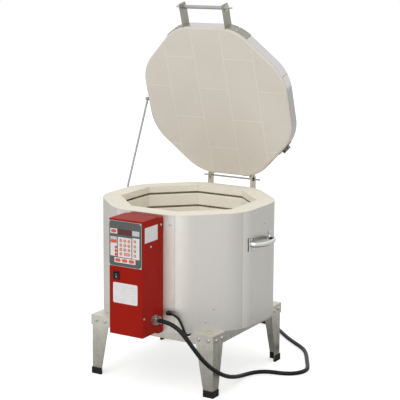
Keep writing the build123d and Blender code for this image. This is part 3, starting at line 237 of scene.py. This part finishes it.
class Surface:
    """A node material with a principled shader and short ways to link to it."""

    def __init__(self, name, colour, roughness, metallic=0.0, gloss=0.5):
        self.material = bpy.data.materials.new(name)
        self.material.use_nodes = True
        self.tree = self.material.node_tree
        self.shader = self.tree.nodes["Principled BSDF"]
        self.set("Base Color", colour)
        self.set("Roughness", roughness)
        self.set("Metallic", metallic)
        self.set("Specular IOR Level", gloss)
        self.place = self.node("ShaderNodeTexCoord").outputs["Object"]

    def node(self, kind, **settings):
        """New node of a kind, with its settings."""
        made = self.tree.nodes.new(kind)
        for key, value in settings.items():
            setattr(made, key, value)
        return made

    def link(self, source, target):
        """Link from an output to an input."""
        self.tree.links.new(source, target)

    def set(self, name, value):
        """Feeds one input of the shader."""
        feed(self.tree, value, self.shader.inputs[name])

    def stretched(self, stretch):
        """Coordinates stretched along the axes."""
        mapping = self.node("ShaderNodeMapping")
        mapping.inputs["Scale"].default_value = stretch
        self.link(self.place, mapping.inputs["Vector"])
        return mapping.outputs["Vector"]

    def noise(self, scale, detail, stretch=(1, 1, 1)):
        """Noise of about 0 to 1, finer where the scale is larger."""
        made = self.node("ShaderNodeTexNoise")
        made.inputs["Scale"].default_value = scale
        made.inputs["Detail"].default_value = detail
        self.link(self.stretched(stretch), made.inputs["Vector"])
        return made.outputs["Fac"]

    def spread(self, source, to_low=0.0, to_high=1.0):
        """Noise whose middle part fills the whole range."""
        return self.remap(source, *noise_middle, to_low, to_high)

    def remap(self, source, low, high, to_low=0.0, to_high=1.0):
        """Linear change of a value's range, kept inside it."""
        return map_range(self.tree, source, low, high, to_low, to_high)

    def maths(self, operation, *values):
        """One maths step on numbers or outputs."""
        made = self.node("ShaderNodeMath", operation=operation)
        for socket, value in zip(made.inputs, values):
            feed(self.tree, value, socket)
        return made.outputs["Value"]

    def axis(self, name):
        """One coordinate of the object's own frame."""
        made = self.node("ShaderNodeSeparateXYZ")
        self.link(self.place, made.inputs["Vector"])
        return made.outputs[name]

    def mix(self, amount, first, second):
        """Colour between two others, each a colour or an output."""
        made = self.node("ShaderNodeMix", data_type="RGBA")
        factor, first_colour, second_colour = mix_inputs
        feed(self.tree, amount, made.inputs[factor])
        feed(self.tree, first, made.inputs[first_colour])
        feed(self.tree, second, made.inputs[second_colour])
        return made.outputs[mix_output]

    def mottle(self, colour, noise, darkest, lightest):
        """Paints with shades of one colour, mottled by noise."""
        level = self.spread(noise)
        self.set("Base Color", self.mix(level, shade(colour, darkest), shade(colour, lightest)))

    def bump(self, height, distance, strength=1.0):
        """Adds a bump, on top of any bump that is there."""
        made = self.node("ShaderNodeBump")
        made.inputs["Distance"].default_value = distance
        made.inputs["Strength"].default_value = strength
        self.link(height, made.inputs["Height"])
        before = self.shader.inputs["Normal"]
        if before.is_linked:
            self.link(before.links[0].from_socket, made.inputs["Normal"])
        self.link(made.outputs["Normal"], before)


def shade(colour, factor):
    """The colour made lighter or darker."""
    return tuple(min(1.0, part * factor) for part in colour)


def sheet_steel(name, colour, roughness, streak, wave, paint_crease_light=False):
    """Rolled stainless sheet with faint vertical streaks and slow waves."""
    made = Surface(name, colour, roughness, sheet_metallic)
    made.set("Anisotropic", sheet_anisotropy)
    streaks = made.spread(made.noise(scale=16, detail=4, stretch=(1, 1, 0.05)))
    clouds = made.spread(made.noise(scale=5, detail=2, stretch=(1, 1, 0.4)))
    level = made.maths("MULTIPLY", made.maths("ADD", streaks, clouds), 0.5)
    tone = made.mix(level, shade(colour, 1 - streak), shade(colour, 1 + streak))
    # Painted highlight, painted shade and dark painted lines at the folds of the jacket
    if paint_crease_light:
        line, sheen, shadow = painted_crease_light(made)
        tone = made.mix(sheen, tone, shade(colour, painted_highlight_factor))
        tone = made.mix(shadow, tone, shade(colour, painted_shade_factor))
        tone = made.mix(line, tone, shade(colour, fold_shade_factor))
    made.set("Base Color", tone)
    fine = made.noise(scale=300, detail=2, stretch=(1, 1, 0.1))
    made.set("Roughness", made.spread(fine, roughness * 0.88, roughness * 1.15))
    made.bump(made.noise(scale=4.5, detail=1, stretch=(1, 1, 0.3)), distance=wave)
    return made.material


def painted_crease_light(made):
    """Painted light at the eight folds of the skin round the corners of the bricks: a dark
    painted line along each, painted highlight on one side and painted shade on the other."""
    angle = made.maths("ARCTAN2", made.axis("Y"), made.axis("X"))
    sides = made.maths("ADD", made.maths("DIVIDE", angle, 2 * half_corner), side_count)
    offset = made.maths("SUBTRACT", made.maths("FRACT", sides), 0.5)
    line = made.remap(made.maths("ABSOLUTE", offset), 0.0, fold_shade_reach, 1.0, 0.0)
    sheen = made.maths("MULTIPLY", made.remap(offset, 0.0, fold_rise),
                       made.remap(offset, *painted_highlight_fade, 1.0, 0.0))
    shadow = made.maths("MULTIPLY", made.remap(offset, -fold_rise, 0.0, 1.0, 0.0),
                        made.remap(offset, *painted_shade_fade))
    return line, sheen, shadow


def dull_steel(name, colour, roughness, metallic=0.75):
    """Dull rolled steel with soft mottling."""
    made = Surface(name, colour, roughness, metallic)
    made.mottle(colour, made.noise(scale=26, detail=4), darkest=0.90, lightest=1.08)
    grain = made.noise(scale=300, detail=2, stretch=(1, 1, 0.15))
    made.set("Roughness", made.spread(grain, roughness * 0.8, roughness * 1.25))
    made.bump(grain, distance=0.00005)
    return made.material


def painted(name, colour, roughness=0.42):
    """Powder coat with a fine orange-peel skin."""
    made = Surface(name, colour, roughness, gloss=0.07)
    made.mottle(colour, made.noise(scale=14, detail=3), darkest=0.95, lightest=1.05)
    made.bump(made.noise(scale=420, detail=2), distance=0.00010, strength=0.5)
    return made.material


def firebrick(name, colour):
    """Soft insulating brick with pores and faint stains."""
    made = Surface(name, colour, roughness=0.92, gloss=0.2)
    stains = made.remap(made.noise(scale=8, detail=4), low=0.25, high=0.75)
    base = made.mix(stains, shade(colour, 0.965), shade(colour, 1.03))
    pores = made.noise(scale=650, detail=3)
    specks = made.remap(pores, low=0.60, high=0.72)
    made.set("Base Color", made.mix(specks, base, shade(colour, 0.86)))
    made.bump(pores, distance=0.0005, strength=0.35)
    made.bump(made.noise(scale=130, detail=3), distance=0.0006, strength=0.25)
    return made.material


def plastic(name, colour, roughness, grain=0.0001, gloss=0.5):
    """Moulded plastic or rubber with a fine grain."""
    made = Surface(name, colour, roughness, gloss=gloss)
    made.mottle(colour, made.noise(scale=30, detail=2), darkest=0.94, lightest=1.06)
    made.bump(made.noise(scale=500, detail=2), distance=grain, strength=0.6)
    return made.material


def print_ink(name, colour):
    """Smooth print on a film."""
    return plastic(name, colour, roughness=0.4, grain=0.00001)


def metal(name, colour, roughness=0.3):
    """Plain turned or plated metal."""
    made = Surface(name, colour, roughness, metallic=1.0)
    made.mottle(colour, made.noise(scale=60, detail=2), darkest=0.93, lightest=1.05)
    worn = made.noise(scale=90, detail=2)
    made.set("Roughness", made.spread(worn, roughness * 0.9, roughness * 1.1))
    return made.material


def handle_metal(name, colour, roughness):
    """Polished metal, with painted shade on the inner side that faces the kiln."""
    made = Surface(name, colour, roughness, metallic=1.0)
    facing = made.node("ShaderNodeVectorMath", operation="DOT_PRODUCT")
    place = made.node("ShaderNodeNewGeometry")
    made.link(place.outputs["Normal"], facing.inputs[0])
    made.link(place.outputs["Position"], facing.inputs[1])
    inner_shade = made.remap(facing.outputs["Value"], *inner_shade_range, 1.0, 0.0)
    made.set("Base Color", made.mix(inner_shade, colour, shade(colour, inner_shade_factor)))
    return made.material


def dress(node, material):
    """Gives a CAD node one material."""
    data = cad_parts[node].data
    data.materials.clear()
    data.materials.append(material)


# Shapes

def new_object(name, mesh, material, body="kiln_body"):
    """Mesh object that rides on a body."""
    made = bpy.data.objects.new(name, mesh)
    bpy.context.collection.objects.link(made)
    mesh.materials.append(material)
    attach(made, body)
    return made


def mesh_from(name, bm):
    """Mesh data of a finished bmesh."""
    mesh = bpy.data.meshes.new(name)
    bmesh.ops.recalc_face_normals(bm, faces=bm.faces)
    bm.to_mesh(mesh)
    bm.free()
    return mesh


def add_prism(bm, outline, start, across, up, normal, height):
    """Plate with the given outline, standing on a surface."""
    low = []
    high = []
    for u, v in outline:
        point = start + across * u + up * v
        low.append(bm.verts.new(point))
        high.append(bm.verts.new(point + normal * height))
    count = len(outline)
    bm.faces.new(low)
    bm.faces.new(list(reversed(high)))
    for index in range(count):
        after = (index + 1) % count
        bm.faces.new((low[index], low[after], high[after], high[index]))


def rectangle(width, height):
    """Outline of a rectangle about its middle."""
    half_w = width / 2
    half_h = height / 2
    return [(-half_w, -half_h), (half_w, -half_h), (half_w, half_h), (-half_w, half_h)]


def rounded(width, height, radius, steps=6):
    """Outline of a rectangle with round corners, about its middle."""
    points = []
    for sx, sy, start in ((1, 1, 0), (-1, 1, 90), (-1, -1, 180), (1, -1, 270)):
        cx = sx * (width / 2 - radius)
        cy = sy * (height / 2 - radius)
        for step in range(steps + 1):
            turn = math.radians(start + 90 * step / steps)
            points.append((cx + radius * math.cos(turn), cy + radius * math.sin(turn)))
    return points


def disc(diameter, steps=28):
    """Outline of a circle."""
    turns = [2 * math.pi * step / steps for step in range(steps)]
    return [(diameter / 2 * math.cos(turn), diameter / 2 * math.sin(turn)) for turn in turns]


def stadium(width, height):
    """Outline with round ends, a little short of a half circle at each."""
    return rounded(width, height, height * round_end_share)


def octagon_point(apothem, distance):
    """Point at a distance along the sharp eight-sided outline, and its outward direction."""
    half = apothem * math.tan(half_corner)
    side = 2 * half
    index = int(distance // side) % side_count
    along = distance % side - half
    turn = 2 * half_corner * index
    normal = Vector((math.cos(turn), math.sin(turn), 0))
    tangent = Vector((-math.sin(turn), math.cos(turn), 0))
    return normal * apothem + tangent * along, normal


def wire(name, points, radius, material, body, smooth=False, sides=2):
    """Round wire or cord along points, as a curve of one open spline."""
    data = bpy.data.curves.new(name, "CURVE")
    data.dimensions = "3D"
    data.bevel_depth = radius
    data.bevel_resolution = sides
    data.use_fill_caps = True
    spline = data.splines.new("NURBS" if smooth else "POLY")
    spline.points.add(len(points) - 1)
    for index, point in enumerate(points):
        spline.points[index].co = (*point, 1)
    if smooth:
        spline.order_u = cord_curve_order
        spline.use_endpoint_u = True
        data.resolution_u = cord_steps
    made = bpy.data.objects.new(name, data)
    bpy.context.collection.objects.link(made)
    data.materials.append(material)
    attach(made, body)
    return made


# Cord: its points in millimetres from the clamp to the plug, chosen one by one

cord_route = [
    (93.75, -334, 261), (126, -334, 261), (163, -333, 246), (191, -331, 220),
    (215, -325, 188), (236, -311, 154), (252, -286, 123), (261, -252, 98),
    (262, -212, 76), (256, -166, 57), (246, -120, 41), (235, -76, 27), (227, -34, 16),
    (226, 8, 9), (235, 43, 7.2), (259, 69, 7.2), (288, 81, 7.2), (317, 85, 7.2),
    (350, 100, 7.2), (371, 129, 7.2), (376, 165, 7.2), (362, 200, 7.2), (341, 239, 7.2),
    (319, 281, 7.2), (296, 323, 7.2), (270, 360, 7.2), (235, 391, 7.2), (197, 420, 7.2),
    (153, 458, 7.2), (109, 501, 7.2), (65, 545, 7.2), (17, 578, 7.2), (-35, 590, 7.2),
    (-84, 576, 7.2), (-116, 538, 10), (-127, 490, 13), (-127, 448, 13),
]


def add_cord():
    """Power cord on one smooth line from the clamp to the plug."""
    route = [tuple(part / 1000 for part in point) for point in cord_route]
    cord = wire("power_cord_line", route, cord_radius, cord_rubber, "kiln_body",
                smooth=True, sides=cord_facets)
    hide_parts("power_cord")


# Heating coils

def add_coils():
    """Wound wire in every groove, with its ends going out to the clamps in the control box."""
    half = element_apothem * math.tan(half_corner)
    right_end = box_centre_x + terminal_half_spacing
    left_end = box_centre_x - terminal_half_spacing
    start = control_box_side * 2 * half + half + right_end
    length = 2 * side_count * half - 2 * terminal_half_spacing
    count = round(length / coil_pitch) * coil_points_per_turn
    tail_y = -jacket_outer - terminal_reach
    number = 0
    for course in range(course_count):
        for drop in groove_drops:
            level = rim_z - course * course_pitch - drop
            points = [Vector((right_end, tail_y, level))]
            for index in range(count + 1):
                place, normal = octagon_point(element_apothem, start + length * index / count)
                turn = 2 * math.pi * index / coil_points_per_turn
                rise = Vector((0, 0, level + coil_radius * math.sin(turn)))
                points.append(place + normal * (coil_radius * math.cos(turn)) + rise)
            points.append(Vector((left_end, tail_y, level)))
            number += 1
            coil = wire("heating_coil_" + str(number), points, coil_wire_radius,
                        element_metal, "kiln_body", sides=0)
            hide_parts("heating_elements")


# Marks on the lid: pale joints between its bricks, and the overlap of its band

def closed_to_open(point):
    """Where a point of the closed lid lies when the lid is open."""
    x, y, z = point
    back = y - hinge_y
    up = z - hinge_z
    turn = lid_open_angle
    return Vector((x, hinge_y + back * math.cos(turn) + up * math.sin(turn),
                   hinge_z - back * math.sin(turn) + up * math.cos(turn)))


def lid_direction(x, y, z):
    """A direction of the closed lid, turned with the open lid."""
    return closed_to_open((x, y, z)) - closed_to_open((0, 0, 0))


def octagon_half(offset, apothem):
    """Half the eight-sided outline's extent across, at an offset from its middle."""
    return min(apothem, apothem * math.sqrt(2) - abs(offset))


def add_lid_joints():
    """Pale cement lines between the bricks on the lid's underside."""
    reach = brick_apothem - lid_edge_chamfer - joint_end_gap
    lines = []
    for place in long_joints:
        x = place * brick_width
        lines.append((x, 0, joint_width, 2 * octagon_half(x, reach)))
    for column, places in enumerate(short_joints):
        for y in places:
            near = (column - 0.5) * brick_width + joint_width / 2
            far = min((column + 0.5) * brick_width - joint_width / 2, octagon_half(y, reach))
            middle = (near + far) / 2
            sides = (1, -1) if column else (1,)
            lines += [(side * middle, y, far - near, joint_width) for side in sides]
    bm = bmesh.new()
    for x, y, width, height in lines:
        add_prism(bm, rectangle(width, height), closed_to_open((x, y, lid_bottom)),
                  lid_direction(1, 0, 0), lid_direction(0, 1, 0), lid_direction(0, 0, -1),
                  joint_height)
    made = new_object("lid_joints", mesh_from("lid_joints", bm), cement, "lid")


def add_band_seam():
    """Dark edge where the two ends of the lid band lap over each other."""
    x, y = band_seam_place
    corner_x = band_outer - outer_corner_radius
    corner_y = -corner_x * math.tan(half_corner)
    outward = Vector((x - corner_x, y - corner_y, 0)).normalized()
    point = Vector((corner_x, corner_y, 0)) + outward * outer_corner_radius
    along = lid_direction(-outward.y, outward.x, 0)
    bm = bmesh.new()
    middle = closed_to_open((point.x, point.y, (band_bottom + lid_top) / 2))
    add_prism(bm, rectangle(band_seam_width, lid_top - band_bottom), middle, along,
              lid_direction(0, 0, 1), lid_direction(*outward), joint_height * 2)
    made = new_object("lid_band_seam", mesh_from("lid_band_seam", bm), dark_line, "lid")


# Control box face

panel_right = Vector((1, 0, 0))
panel_up = Vector((0, 0, 1))
panel_out = Vector((0, -1, 0))


def panel_point(place, lift):
    """Point above the key membrane from its shares of the panel."""
    across, down = place
    width = panel_high[0] - panel_low[0]
    height = panel_high[2] - panel_low[2]
    return Vector((box_centre_x + across * width, film_face_y - lift,
                   panel_high[2] - down * height))


def add_prints(name, spots, material, lift):
    """Flat printed shapes on the keypad, all in one mesh."""
    bm = bmesh.new()
    for place, outline in spots:
        add_prism(bm, outline, panel_point(place, lift), panel_right, panel_up, panel_out,
                  print_height)
    made = new_object(name, mesh_from(name, bm), material)


def add_digit(text, place, lift, size):
    """One printed numeral on a key."""
    data = bpy.data.curves.new("digit_" + text, "FONT")
    data.body = text
    data.size = size
    data.align_x = "CENTER"
    data.align_y = "CENTER"
    data.extrude = print_height / 2
    made = bpy.data.objects.new("digit_" + text, data)
    bpy.context.collection.objects.link(made)
    made.location = panel_point(place, lift + print_height / 2)
    made.rotation_euler = (math.radians(90), 0, 0)
    data.materials.append(print_dark)
    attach(made, "kiln_body")


def add_keypad():
    """Pale fields, red keys with pale middles and numerals."""
    pale = [(place, rounded(*size, field_corner)) for place, size in pale_fields]
    add_prints("pale_fields", pale, print_pale, 0)
    grey = [(place, rounded(*size, field_corner)) for place, size in grey_fields]
    add_prints("grey_fields", grey, print_grey, print_height)
    number_keys = [(x, row) for row in keypad_rows for x in keypad_columns]
    number_keys.append((keypad_columns[0], last_row))
    ring_keys = number_keys + [(right_column, row) for row in right_rows]
    plain_keys = [(left_column, row) for row in left_rows]
    red = [(place, disc(round_key)) for place in ring_keys + plain_keys]
    red += [(place, stadium(*wide_key))
            for place in (left_wide_place, (last_wide_column, last_row))]
    ovals = [(x, bottom_row) for x in bottom_columns] + [pad_place]
    red += [(place, stadium(*oval_key)) for place in ovals]
    add_prints("red_keys", red, print_red, key_lift)
    middles = [(place, disc(round_key * ring_share)) for place in ring_keys]
    wide_middle = [size * share for size, share in zip(wide_key, wide_middle_share)]
    middles.append(((last_wide_column, last_row), stadium(*wide_middle)))
    add_prints("pale_keys", middles, print_pink, key_lift + print_height)
    for text, place in zip("1234567890", number_keys):
        add_digit(text, place, key_lift + 2 * print_height, digit_size)


def add_panel_edge():
    """Bare bright edge of the panel's sheet around its dark print."""
    low = panel_low
    high = panel_high
    width = high[0] - low[0]
    height = high[2] - low[2]
    middle_x = (low[0] + high[0]) / 2
    middle_z = (low[2] + high[2]) / 2
    edge = panel_edge_width
    strips = [(middle_x, low[2] + edge / 2, width, edge),
              (middle_x, high[2] - edge / 2, width, edge),
              (low[0] + edge / 2, middle_z, edge, height - 2 * edge),
              (high[0] - edge / 2, middle_z, edge, height - 2 * edge)]
    bm = bmesh.new()
    for x, z, wide, tall in strips:
        add_prism(bm, rectangle(wide, tall), Vector((x, low[1], z)), panel_right, panel_up,
                  panel_out, print_height)
    made = new_object("panel_edge", mesh_from("panel_edge", bm), zinc)


def add_rocker_marks():
    """Bar and ring printed on the two halves of the power switch."""
    low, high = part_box("rocker")
    middle_x = (low[0] + high[0]) / 2
    middle_z = (low[2] + high[2]) / 2
    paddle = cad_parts["rocker"]
    marks = [("rocker_bar", rocker_mark_lift, rectangle(*rocker_bar), print_white),
             ("rocker_ring", -rocker_mark_lift, disc(rocker_ring), print_white),
             ("rocker_ring_middle", -rocker_mark_lift, disc(rocker_ring_hole),
              black_moulding)]
    for index, (name, rise, outline, material) in enumerate(marks):
        start = Vector((middle_x, low[1] - rocker_probe_distance, middle_z + rise))
        _, point, normal, _ = paddle.ray_cast(start, Vector((0, 1, 0)))
        up = panel_right.cross(normal).normalized()
        bm = bmesh.new()
        add_prism(bm, outline, point, panel_right, -up, normal, print_height * (index + 1))
        made = new_object(name, mesh_from(name, bm), material, "switch")


def add_plate_lines():
    """Faint ruled lines on the otherwise blank plate on the front of the box."""
    low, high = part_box("front_plate")
    width = high[0] - low[0] - 2 * plate_line_margin
    pitches = plate_line_count - 1 + 2 * plate_line_end_gap
    pitch = (high[2] - low[2]) / pitches
    bm = bmesh.new()
    for index in range(plate_line_count):
        z = high[2] - pitch * (index + plate_line_end_gap)
        add_prism(bm, rectangle(width, plate_line_width),
                  Vector(((low[0] + high[0]) / 2, low[1], z)), panel_right, panel_up,
                  panel_out, print_height)
    made = new_object("plate_lines", mesh_from("plate_lines", bm), print_grey)


# Surroundings

def plain_rays(tree, path, *more):
    """1 for camera and glass rays, and for the further kinds of ray named."""
    total = path.outputs["Is Camera Ray"]
    for name in ("Is Transmission Ray", *more):
        larger = tree.nodes.new("ShaderNodeMath")
        larger.operation = "MAXIMUM"
        feed(tree, total, larger.inputs[0])
        feed(tree, path.outputs[name], larger.inputs[1])
        total = larger.outputs["Value"]
    return total


def mirrored_floor(tree):
    """Floor colour in mirrors with painted shade and shadow, and its painted light, by place.
    """
    place = tree.nodes.new("ShaderNodeTexCoord").outputs["Object"]
    facing = tree.nodes.new("ShaderNodeVectorMath")
    facing.operation = "DOT_PRODUCT"
    facing.inputs[1].default_value = floor_bright_side
    distance = tree.nodes.new("ShaderNodeVectorMath")
    distance.operation = "LENGTH"
    axes = tree.nodes.new("ShaderNodeSeparateXYZ")
    for node in (facing, distance, axes):
        feed(tree, place, node.inputs[0])
    # Painted light towards the bright side, painted shade on the left and near the kiln
    lift = map_range(tree, facing.outputs["Value"], 0.0, floor_bright_reach,
                     0.0, floor_mirror_painted_light)
    far = map_range(tree, axes.outputs["X"], *floor_left_reach,
                    floor_left_painted_shade, floor_colour)
    colour = map_range(tree, distance.outputs["Value"], *floor_near_reach,
                       floor_near_painted_shadow, far)
    return colour, lift


def add_stage():
    """White floor that keeps the object's soft shadow."""
    bpy.ops.mesh.primitive_plane_add(size=floor_size, location=(0, 0, -floor_drop))
    floor = bpy.context.object
    floor.name = "floor"
    made = bpy.data.materials.new("floor_white")
    made.use_nodes = True
    tree = made.node_tree
    shader = tree.nodes["Principled BSDF"]
    feed(tree, 1.0, shader.inputs["Roughness"])
    feed(tree, 0.0, shader.inputs["Specular IOR Level"])
    feed(tree, white, shader.inputs["Emission Color"])
    path = tree.nodes.new("ShaderNodeLightPath")
    # In mirrors the floor shows painted shade and painted light
    mirror_shaded_colour, mirror_painted_light = mirrored_floor(tree)
    colour = map_range(tree, path.outputs["Is Glossy Ray"], 0.0, 1.0, floor_colour,
                       mirror_shaded_colour)
    feed(tree, colour, shader.inputs["Base Color"])
    mirrored = map_range(tree, path.outputs["Is Glossy Ray"], 0.0, 1.0, 0.0, mirror_painted_light)
    lift = map_range(tree, plain_rays(tree, path), 0.0, 1.0, mirrored, floor_lift)
    feed(tree, lift, shader.inputs["Emission Strength"])
    floor.data.materials.append(made)


def add_world():
    """Plain surroundings, white to the camera and in mirrors and glass."""
    world = bpy.data.worlds.new("studio")
    bpy.context.scene.world = world
    world.use_nodes = True
    tree = world.node_tree
    background = tree.nodes["Background"]
    feed(tree, white, background.inputs["Color"])
    path = tree.nodes.new("ShaderNodeLightPath")
    seen = plain_rays(tree, path, "Is Glossy Ray")
    strength = map_range(tree, seen, 0.0, 1.0, ambient_level, 1.0)
    feed(tree, strength, background.inputs["Strength"])


def add_key_light():
    """One large soft lamp, high in front."""
    data = bpy.data.lights.new("key", "AREA")
    data.shape = "SQUARE"
    data.size = key_size
    data.energy = key_power
    lamp = bpy.data.objects.new("key", data)
    bpy.context.collection.objects.link(lamp)
    direction = key_direction.normalized()
    lamp.location = direction * key_distance + key_target
    lamp.rotation_mode = "QUATERNION"
    lamp.rotation_quaternion = (-direction).to_track_quat("-Z", "Y")


# The frame, and the places that are read from it

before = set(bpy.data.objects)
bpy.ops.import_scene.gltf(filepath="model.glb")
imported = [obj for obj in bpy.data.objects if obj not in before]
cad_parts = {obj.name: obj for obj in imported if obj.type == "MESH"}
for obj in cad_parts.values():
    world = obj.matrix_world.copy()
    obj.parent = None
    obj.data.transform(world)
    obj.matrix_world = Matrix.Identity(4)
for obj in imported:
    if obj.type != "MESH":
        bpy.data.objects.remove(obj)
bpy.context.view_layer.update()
bpy.context.scene.view_settings.view_transform = "Standard"

rim_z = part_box("wall_course_1")[1][2]
panel_low, panel_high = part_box("controller_panel")
film_face_y = panel_low[1] - film_thickness
box_centre_x = (panel_low[0] + panel_high[0]) / 2

# Materials: colour, roughness and what else each kind takes

steel = sheet_steel("jacket_steel", (0.71, 0.692, 0.645), roughness=0.40, streak=0.03,
                    wave=0.0025, paint_crease_light=True)
band_steel = sheet_steel("band_steel", (0.64, 0.632, 0.622), roughness=0.24, streak=0.02,
                         wave=0.0006)
bracket_steel = dull_steel("bracket_steel", (0.36, 0.355, 0.30), roughness=0.34)
strap_steel = dull_steel("strap_steel", (0.60, 0.57, 0.47), roughness=0.4, metallic=0.5)
stand_steel = dull_steel("stand_steel", (0.63, 0.62, 0.55), roughness=0.30, metallic=0.9)
clamp_steel = dull_steel("clamp_steel", (0.26, 0.23, 0.185), roughness=0.4)
element_metal = dull_steel("element_metal", (0.40, 0.27, 0.12), roughness=0.7, metallic=0.1)
handle_steel = handle_metal("handle_steel", (0.70, 0.71, 0.70), roughness=0.16)
grip_steel = metal("grip_steel", (0.42, 0.42, 0.42))
rod_steel = metal("rod_steel", (0.40, 0.40, 0.41), roughness=0.6)
screw_metal = metal("screw_metal", (0.56, 0.55, 0.52))
clip_steel = metal("clip_steel", (0.06, 0.05, 0.035), roughness=0.5)
zinc = metal("zinc", (0.50, 0.52, 0.51), roughness=0.42)
brass = metal("brass", (0.60, 0.42, 0.16))
core_steel = metal("core_steel", (0.20, 0.20, 0.21), roughness=0.5)
wall_brick = firebrick("wall_brick", (0.93, 0.88, 0.775))
lid_brick = firebrick("lid_brick", (0.715, 0.665, 0.59))
cement = firebrick("cement", (0.778, 0.732, 0.66))
red_coat = painted("red_coat", (0.335, 0.010, 0.004))
dark_film = painted("dark_film", (0.115, 0.122, 0.118), roughness=0.5)
black_moulding = plastic("black_moulding", (0.012, 0.012, 0.012), roughness=0.4, gloss=0.2)
cord_rubber = plastic("cord_rubber", (0.013, 0.013, 0.013), roughness=0.38, gloss=0.18)
boot_rubber = plastic("boot_rubber", (0.011, 0.011, 0.011), roughness=0.55, grain=0.0002,
                      gloss=0.3)
plate_white = plastic("plate_white", (0.73, 0.72, 0.715), roughness=0.35, grain=0.00002)
window_red = plastic("window_red", (0.095, 0.005, 0.006), roughness=0.12, grain=0.00001)
porcelain = plastic("porcelain", (0.78, 0.76, 0.70), roughness=0.35)
board_green = plastic("board_green", (0.02, 0.12, 0.05), roughness=0.4)
dark_line = plastic("dark_line", (0.12, 0.10, 0.07), roughness=0.6)
print_pale = print_ink("print_pale", (0.72, 0.71, 0.68))
print_grey = print_ink("print_grey", (0.50, 0.52, 0.51))
print_red = print_ink("print_red", (0.72, 0.075, 0.035))
print_pink = print_ink("print_pink", (0.74, 0.42, 0.36))
print_white = print_ink("print_white", (0.75, 0.75, 0.75))
print_dark = print_ink("print_dark", (0.16, 0.02, 0.02))

# Which CAD nodes have which material

looks = {
    steel: ["jacket", "jacket_seam", "floor_pan"],
    band_steel: ["lid_band"],
    bracket_steel: ["lid_handle_brackets", "prop_pivot_stud", "guide_bracket"],
    strap_steel: ["lid_hinge_brackets", "body_hinge_straps"],
    clamp_steel: ["lid_band_clamp"],
    clip_steel: ["hinge_clips"],
    grip_steel: ["lid_handle_grip"],
    rod_steel: ["prop_rod"],
    handle_steel: ["side_handle_right", "side_handle_left"],
    stand_steel: ["stand_rails", "stand_legs", "floor_cutout"],
    screw_metal: ["jacket_screws", "stand_bolts", "stand_nuts", "lid_screws", "hinge_rod",
                  "lid_handle_rod", "lid_handle_nuts", "guide_block", "box_screws",
                  "panel_screws", "board_standoffs"],
    wall_brick: ["wall_course_1", "wall_course_2", "wall_course_3", "floor_slab"],
    lid_brick: ["lid_slab"],
    red_coat: ["box_cover", "box_tray"],
    black_moulding: ["rocker_housing", "rocker", "relays", "supply_block", "lead_bushing",
                     "plug", "sensor_lead"],
    boot_rubber: ["stand_boots"],
    dark_film: ["controller_panel", "key_overlay"],
    plate_white: ["front_plate", "side_plate"],
    window_red: ["display_window"],
    zinc: ["cord_connector", "cord_clamp_bar"],
    brass: ["terminal_connectors"],
    porcelain: ["terminal_insulators", "thermocouple"],
    board_green: ["circuit_board"],
    core_steel: ["transformer"],
}
for material, nodes in looks.items():
    for name in nodes:
        dress(name, material)

add_camera()
add_cord()
add_coils()
add_lid_joints()
add_band_seam()
add_keypad()
add_panel_edge()
add_rocker_marks()
add_plate_lines()
add_stage()
add_world()
add_key_light()
